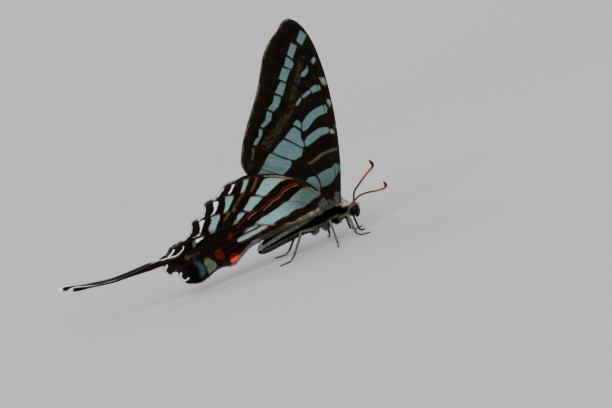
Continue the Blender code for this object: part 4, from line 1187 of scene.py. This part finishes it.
bodyColours = {
    # the abdomen's grey-green band: its own colour, raised far above the other greys as painted light against
    # the shade of the wings and hair
    "black": (0.0019, 0.0016, 0.0010), "olive": (0.023, 0.0185, 0.0083), "sageWithPaintedLight": (0.285, 0.320, 0.240),
    "line": (0.135, 0.125, 0.102), "grey": (0.0665, 0.0712, 0.053), "under": (0.103, 0.112, 0.078),
    "cream": (0.15, 0.135, 0.085), "collar": (0.74, 0.62, 0.49), "tip": (0.75, 0.60, 0.60),
    "blueGrey": (0.0855, 0.1007, 0.1007), "hair": (0.130, 0.122, 0.084), "face": (0.56, 0.45, 0.37),
    "eyeRim": (0.24, 0.175, 0.165),
}
bodyBands = {  # the edges of the dark band along the side, and the pale collar
    "at": [-17, -12, -7.3, -3.9, -2.8, -0.9, 0.2, 1.4, 2.5, 3.2],
    "top": [-11.35, -8.25, -5.6, -3.2, -2.4, -1.9, -1.2, -1.75, -1.8, -1.9],
    "bottom": [-11.75, -9.1, -6.75, -5.27, -4.8, -3.7, -3.1, -3.0, -3.05, -3.0],
    "collar": [(0.3, -0.7), (1.2, -0.7), (2.1, -1.05), (2.8, -1.3), (3.6, -1.2)], "collarHalf": 0.62,
}


def eyeShare(p):  # 1 at the eye's surface, more outside it
    radii = np.array(headShape["eyeRadii"])
    return np.min([np.linalg.norm((p - np.array(eyePlace(s))) / radii, axis=1) for s in (-1, 1)], 0)


def bodyPaint(p):  # the markings of skin and coat, from the side view
    u, v = p[:, 0], p[:, 2]
    middle, tall = middleAt(u)
    h = (v - middle) / tall
    top, below = [np.interp(u, bodyBands["at"], bodyBands[edge]) - v for edge in ("top", "bottom")]
    belly, chest = ease(-4.6, -6.6, u), ease(-6.6, -4.6, u)
    ring = np.abs(((u + 7.3) / 1.28) % 1 - 0.5)
    collar = bodyBands["collarHalf"] - lineDistance(np.stack([u, v], 1), np.array(bodyBands["collar"]))
    tip, head, eye = ease(-16.9, -17.3, u), ease(2.5, 2.9, u), eyeShare(p)
    layers = [  # one over the other, with the share of each
        # the grey-green band, brightened as painted light against the shade of the wings and hair
        (belly, "sageWithPaintedLight"),
        (belly * ease(0.42, 0.5, ring) * 0.8, "black"),
        (belly * ease(0.68, 0.78, h), "olive"),
        (belly * (1 - ease(0.02, 0.07, np.abs(h - 0.68))), "black"),
        (belly * ease(-0.05, 0.05, below), "line"),
        (belly * ease(0.26, 0.32, below), "black"),
        (belly * ease(0.42, 0.48, below), "grey"),
        (belly * ease(-0.84, -0.9, h), "black"),
        (chest * ease(-3.6, -1.5, u) * ease(-0.1, 0.1, below) * ease(1.9, 1.2, below), "cream"),
        (chest * ease(0.1, -0.1, below), "hair"),
        (chest * ease(0.1, -0.1, below) * ease(-1.0, -0.6, u), "blueGrey"),
        (chest * ease(0.86, 1.0, h) * ease(0.2, -0.4, u), "black"),
        # a black patch where the legs join the body: painted shade of the gap between them
        (ease(1.1, 0.8, np.hypot((u + 0.3) / 1.0, (v + 4.7) / 0.75)), "black"),
        (ease(-0.1, 0.1, collar), "collar"),
        (tip, "tip"),
        (tip * ease(0.1, -0.1, h), "black"),
        (ease(-0.06, 0.06, np.minimum(top, -below)) * (1 - tip) * ease(3.4, 3.0, u), "black"),
        (head * ease(-1.9, -1.5, v), "face"),
        (head * ease(1.7, 1.3, eye), "eyeRim"),
        (head * ease(-2.9, -3.3, v), "cream"),
        (ease(4.5, 4.8, u) * ease(-2.2, -2.6, v) * 0.8, "olive"),
    ]
    colour = np.array(bodyColours["under"])
    for share, kind in layers:
        colour = paint(colour, share, bodyColours[kind])
    clump = ease(-0.3, 0.1, collar)
    shade = noiseAt(p, 1.1) * 0.35 + noiseAt(p, 2.6) * (0.35 + 0.6 * clump)
    return np.clip(colour * (1 + shade[:, None]), 0, 1)


def lieOf(p, normals):  # the way the hair lies: back along the body, down over the face
    u = p[:, 0]
    under = ease(-3.6, -5.2, p[:, 2]) * ease(-6.6, -5, u)
    down = np.where(u > 2.6, 0.2, np.where(u < -5, -0.6, -0.35)) - under * 0.5
    back = np.stack([np.full(len(p), -1.0), np.zeros(len(p)), down], 1)
    face = ease(headShape["centre"][0] + 0.2, headShape["centre"][0] + 0.9, u)[:, None]
    back = back * (1 - face) + np.array([0.55, 0, -0.75]) * face
    flatWay = back - normals * np.sum(back * normals, 1)[:, None]
    flatWay /= np.maximum(np.linalg.norm(flatWay, axis=1), 1e-6)[:, None]
    rise = np.where(u > -5, 0.42, 0.2)[:, None]
    return flatWay + normals * (rise + face * 0.3)


def skinUnwrap(p):  # along the body, and round it
    middle, _ = middleAt(p[:, 0])
    return onSheet((p[:, 0] + 19) / 26, np.arctan2(p[:, 1], p[:, 2] - middle) / (2 * math.pi) + 0.5)


coatForm = {
    "thorax": {"density": 70, "length": 1.25, "width": 0.15, "from": -7.4, "to": 2.6},
    "abdomen": {"density": 120, "length": 0.42, "width": 0.12, "from": -19, "to": -6.9},
    "head": {"density": 160, "length": 0.62, "width": 0.085, "from": 2.3, "to": 7},
}
skin = buildSkin()
points = pointsOf(skin)
offEyes = eyeShare(points) > 1.1
palpAway = np.min([np.linalg.norm(points - q, axis=1) for s in (-1, 1) for q in smoothLine(palpLine(s))], 0)
lengths = 1 - 0.45 * ease(0.45, 0.25, palpAway)
dress(skin, bodyPaint(points), lieOf(points, pointsOf(skin, "normal")), offEyes, lengths, skinUnwrap)
for part, form in coatForm.items():
    cover = offEyes & (points[:, 0] > form["from"]) & (points[:, 0] <= form["to"])
    skin.data.attributes["cover"].data.foreach_set("value", cover.astype(np.float32))
    growTufts(part + "Hair", skin, form, hairLook)
finish(settle(skin), coatLook("bodySkin", False), "body_hair", "head", "thorax", "abdomen", "palp_right",
       "palp_left")


# Eyes and feelers
print("eyes and feelers")
eyeForm = {"facet": 0.055, "relief": 0.012, "colour": (0.0012, 0.001, 0.001), "roughness": 0.22,
           "shine": 0.1, "lean": 30, "segments": 96, "rings": 64}
eyeLook = Look("eyeLens")
facets = eyeLook.bump(eyeLook.cells(eyeForm["facet"]), eyeForm["relief"], 0.5)
eyeLook.done(eyeForm["colour"], eyeForm["roughness"], facets, eyeForm["shine"])
antennaForm = {
    -1: [(3.92, -0.45, -1.35), (3.9, -0.6, -0.6), (3.95, -1.4, 1.6), (4.9, -2.6, 3.5), (6.4, -4.6, 6.1),
         (7.35, -5.6, 7.4), (7.4, -6.2, 8.3), (6.5, -6.9, 9.3)],
    1: [(4.0, 0.45, -1.35), (4.4, 0.6, -0.5), (5.6, 1.4, 0.4), (7.6, 2.8, 0.95), (9.8, 4.4, 1.15),
        (11.9, 5.9, 1.6), (12.45, 6.6, 2.3), (11.9, 7.1, 3.1)],
    "radii": [(0, 0.25), (0.15, 0.24), (0.45, 0.235), (0.72, 0.245), (0.84, 0.31), (0.93, 0.4), (1, 0.16)],
    "colours": [(0, (0.15, 0.055, 0.0131)), (0.14, (0.06, 0.03, 0.01)), (0.45, (0.085, 0.034, 0.01)),
                (0.66, (0.31, 0.085, 0.012)), (0.8, (0.24, 0.06, 0.012)), (0.88, (0.04, 0.005, 0.003)),
                (0.96, (0.028, 0.0035, 0.002)), (1, (0.36, 0.065, 0.012))],
    "joint": 0.42, "groove": 0.09, "shade": 0.4, "step": 0.07, "sides": 16,
}


def hornLook(name, roughness):
    look = Look(name)
    grain = look.noise(0.12)
    colour = look.scaled(look.attribute("tint", "Color"), grain * 0.7 + 0.65)
    return look.done(colour, roughness, look.bump(grain, 0.02, 0.5), 0.2)


hornShine = hornLook("horn", 0.42)
for side, name in bothSides:
    ball = ballParts(eyePlace(side), headShape["eyeRadii"], eyeForm["lean"], eyeForm["segments"],
                     eyeForm["rings"])
    eye = outward(newObject("eyeShown_" + name, *ball))
    finish(settle(eye), eyeLook.material, "eye_lens", "eye_" + name)
    form = antennaForm
    line = curve(form[side], form["step"], steps=8)
    t = np.linspace(0, 1, len(line))
    beat = (np.arange(len(line)) * form["step"] / form["joint"]) % 1
    toJoint = np.minimum(beat, 1 - beat)
    radii = np.interp(t, *np.array(form["radii"]).T) * (1 - form["groove"] * np.exp(-(toJoint / 0.12) ** 2))
    antenna = joinParts("antennaShown_" + name, [tubeParts(line, radii, form["sides"])])
    tone = colourAlong(t, form["colours"]) * (1 - form["shade"] * np.exp(-(toJoint / 0.15) ** 2))[:, None]
    setColour(antenna, "tint", np.vstack([tone[:1], np.repeat(tone, form["sides"], 0), tone[-1:]]))
    finish(settle(antenna), hornShine, "antenna_horn", "antenna_" + name)


# Legs
print("legs")
legShape = {  # radii along each part, as shares of its length
    "femur": [(0, 0.36), (0.25, 0.42), (0.7, 0.34), (0.93, 0.26), (1, 0.2)],
    "tibia": [(0, 0.2), (0.08, 0.26), (0.5, 0.22), (0.94, 0.21), (1, 0.15)],
    "bead": [(0, 0.12), (0.2, 0.16), (0.8, 0.17), (1, 0.12)], "beadsAt": (0, 0.35, 0.6, 0.82, 1),
    "spur": [(0, 0.08), (0.5, 0.06), (1, 0.02)], "claw": [(0, 0.06), (1, 0.02)],
    "landHeight": 0.2, "toeHeight": 0.16,
}
legFur = {"density": 60, "length": 0.38, "width": 0.075, "stand": 0.22}
legColours = {"scales": (0.165, 0.165, 0.120), "dark": (0.0137, 0.0088, 0.0044),
              "foot": (0.0254, 0.0167, 0.0083)}


def tapered(a, b, profile, step, sides):  # a tube between two points, with radii given along it
    line = evenLine([a, b], step)
    t = np.linspace(0, 1, len(line))
    return tubeParts(line, np.interp(t, *np.array(profile).T), sides)


def legUnwrap(p):
    return np.stack([0.5 + p[:, 0] / 50, 0.1 + p[:, 2] / 15, np.zeros(len(p))], 1)


def unit(way):
    return way / np.linalg.norm(way)


def buildLeg(pair, name, side):
    hip, knee, ankle, toe = [np.array((x + underBody, y * side, z)) for x, y, z in legForm[pair]]
    parts, tones, ways, furry = [], [], [], []

    def add(a, b, shape, tone, step=0.12, sides=14):  # pale scales above, dark below
        part = tapered(a, b, legShape[shape], step, sides)
        points = np.array(part[0])
        axis = evenLine([points[0], points[-1]], 0.05)
        under = [q[2] - axis[np.linalg.norm(axis - q, axis=1).argmin()][2] for q in points]
        dark = ease(0.02, -0.1, np.array(under)) * (tone == "scales")
        parts.append(part)
        tones.append(paint(np.array(legColours[tone]), dark, legColours["dark"]))
        ways.append(np.tile(unit(points[-1] - points[0]), (len(points), 1)))
        furry.append(np.full(len(points), float(tone == "scales")))

    add(hip + unit(knee - hip) * 0.5, knee, "femur", "scales")
    add(knee, ankle, "tibia", "scales")
    down = unit(ankle - knee)
    for turnTo in (-1, 1):
        aside = np.cross(down, (0, 0, 1)) * turnTo * 0.35
        add(ankle - down * 0.25, ankle + down * 0.35 + aside, "spur", "dark", 0.08, 8)
    land = np.array([*(ankle[:2] * 0.7 + toe[:2] * 0.3), legShape["landHeight"]])
    toe = np.array([toe[0], toe[1], legShape["toeHeight"]])
    stops = [ankle] + [land * (1 - t) + toe * t for t in legShape["beadsAt"]]
    for a, b in zip(stops[:-1], stops[1:]):
        add(a, b, "bead", "foot", 0.1, 12)
    way = unit(toe - land)
    for turnTo in (-1, 1):
        aside = np.array([-way[1], way[0], 0]) * 0.1 * turnTo
        tip = toe + way * 0.12 + aside * 2 - (0, 0, 0.08)
        add(toe - way * 0.1 + aside, tip, "claw", "dark", 0.06, 6)
    leg = joinParts(f"legShown_{pair}_{name}", parts)
    lie = np.vstack(ways) + pointsOf(leg, "normal") * legFur["stand"]
    dress(leg, np.vstack(tones), lie, np.concatenate(furry), np.ones(len(lie)), legUnwrap)
    growTufts(f"legScales_{pair}_{name}", leg, legFur, hairLook, where=standing)
    nodes = [f"leg_{pair}_{name}_{piece}" for piece in ("femur", "tibia", "foot")]
    finish(settle(leg, standing), legShine, "leg_horn", *nodes)


legShine = hornLook("legHorn", 0.55)
for pair in legForm:
    for side, name in bothSides:
        buildLeg(pair, name, side)


# Drinking tube
print("drinking tube")
tubeForm = {
    "inHead": [(0.3, -1.3), (0.5, -2.2)],  # from the head's middle
    "down": [(0.1, 2.1), (0.15, 1.0), (0.55, 0.36), (1.5, 0.26)],  # forward of the mouth, and over the floor
    "radii": [0.26, 0.2, 0.09], "tipPoints": 8, "ringEvery": 3, "ring": 0.015, "step": 0.08, "sides": 14,
    "colour": (0.0054, 0.0035, 0.0019),
}
u, _, v = headShape["centre"]
line = [overFloor((u + a, 0, v + b)) for a, b in tubeForm["inHead"]]
mouth = line[-1][0]
line = curve(line + [(mouth + ahead, 0, z) for ahead, z in tubeForm["down"]], tubeForm["step"])
n = len(line)
radii = np.interp(np.arange(n), [0, n - tubeForm["tipPoints"], n], tubeForm["radii"])
radii -= tubeForm["ring"] * (np.arange(n) % tubeForm["ringEvery"] == 0)
tube = joinParts("proboscisShown", [tubeParts(line, radii, tubeForm["sides"])])
setColour(tube, "tint", np.tile(tubeForm["colour"], (len(tube.data.vertices), 1)))
finish(settle(tube, standing), hornShine, "leg_horn", "proboscis")


# Stage, light and camera
print("stage, light and camera")
stage = {"floor": (0.48, 0.48, 0.47), "roughness": 0.85, "front": -3.0, "bendAt": 0.25, "bend": 1.4,
         "back": 2.4, "halfWidth": 4, "world": 0.88, "worldColour": (0.95, 0.97, 1, 1), "aim": (0, 0, 0.025)}
lights = {  # place, size, power and colour
    "key": ((-1.0, -2.4, 3.0), 2.4, 92, (1, 0.99, 0.97)),
    "fill": ((2.8, -2.0, 1.2), 2.4, 36, (0.95, 0.97, 1)),
    "rim": ((-0.8, 2.4, 2.4), 2.0, 44, (1, 1, 1)),
}
view = {"azimuth": -6, "elevation": 6, "target": (-7.08, 0, -1.30), "width": 140.8, "lens": 100, "sensor": 36}

radius = stage["bend"]
profile = [(stage["front"], 0.0)]
for a in np.linspace(0, math.pi / 3, 33):
    profile.append((stage["bendAt"] + radius * math.sin(a), radius - radius * math.cos(a)))
profile.append((stage["back"], stage["back"]))
floorPoints = [(x, y, z) for y, z in profile for x in (-stage["halfWidth"], stage["halfWidth"])]
floorFaces = [(i, i + 1, i + 3, i + 2) for i in range(0, len(floorPoints) - 2, 2)]
floor = newObject("floor", floorPoints, floorFaces)
floor.data.materials.append(Look("floor").done(stage["floor"], stage["roughness"]))

for name, (place, size, power, colour) in lights.items():
    light = bpy.data.lights.new(name, "AREA")
    light.size, light.energy, light.color = size, power, colour
    lamp = bpy.data.objects.new(name, light)
    lamp.location = place
    lamp.rotation_euler = (Vector(stage["aim"]) - Vector(place)).to_track_quat("-Z", "Y").to_euler()
    bpy.context.scene.collection.objects.link(lamp)
world = bpy.data.worlds.new("studio")
world.use_nodes = True
background = world.node_tree.nodes["Background"].inputs
background[0].default_value, background[1].default_value = stage["worldColour"], stage["world"]
bpy.context.scene.world = world

camera = bpy.data.objects.new("camera", bpy.data.cameras.new("camera"))
bpy.context.scene.collection.objects.link(camera)
az, el = math.radians(view["azimuth"]), math.radians(view["elevation"])
distance = view["width"] * view["lens"] / view["sensor"]
way = Vector((math.sin(az) * math.cos(el), -math.cos(az) * math.cos(el), math.sin(el)))
up = Vector((0, 0, 1)) - way * way.z
up.normalize()
spin = Matrix.Rotation(turn, 3, "Y")  # rolled as the body is
right = spin @ up.cross(way)
axes = Matrix((right, spin @ up, spin @ way)).transposed()
target = Vector(placed([view["target"]])[0])
camera.matrix_world = Matrix.Translation(target + spin @ way * distance * mm) @ axes.to_4x4()
camera.data.lens = view["lens"]
camera.data.sensor_width = view["sensor"]
camera.data.clip_start, camera.data.clip_end = 0.01, 30
bpy.context.scene.camera = camera

bpy.data.objects.remove(tuft)
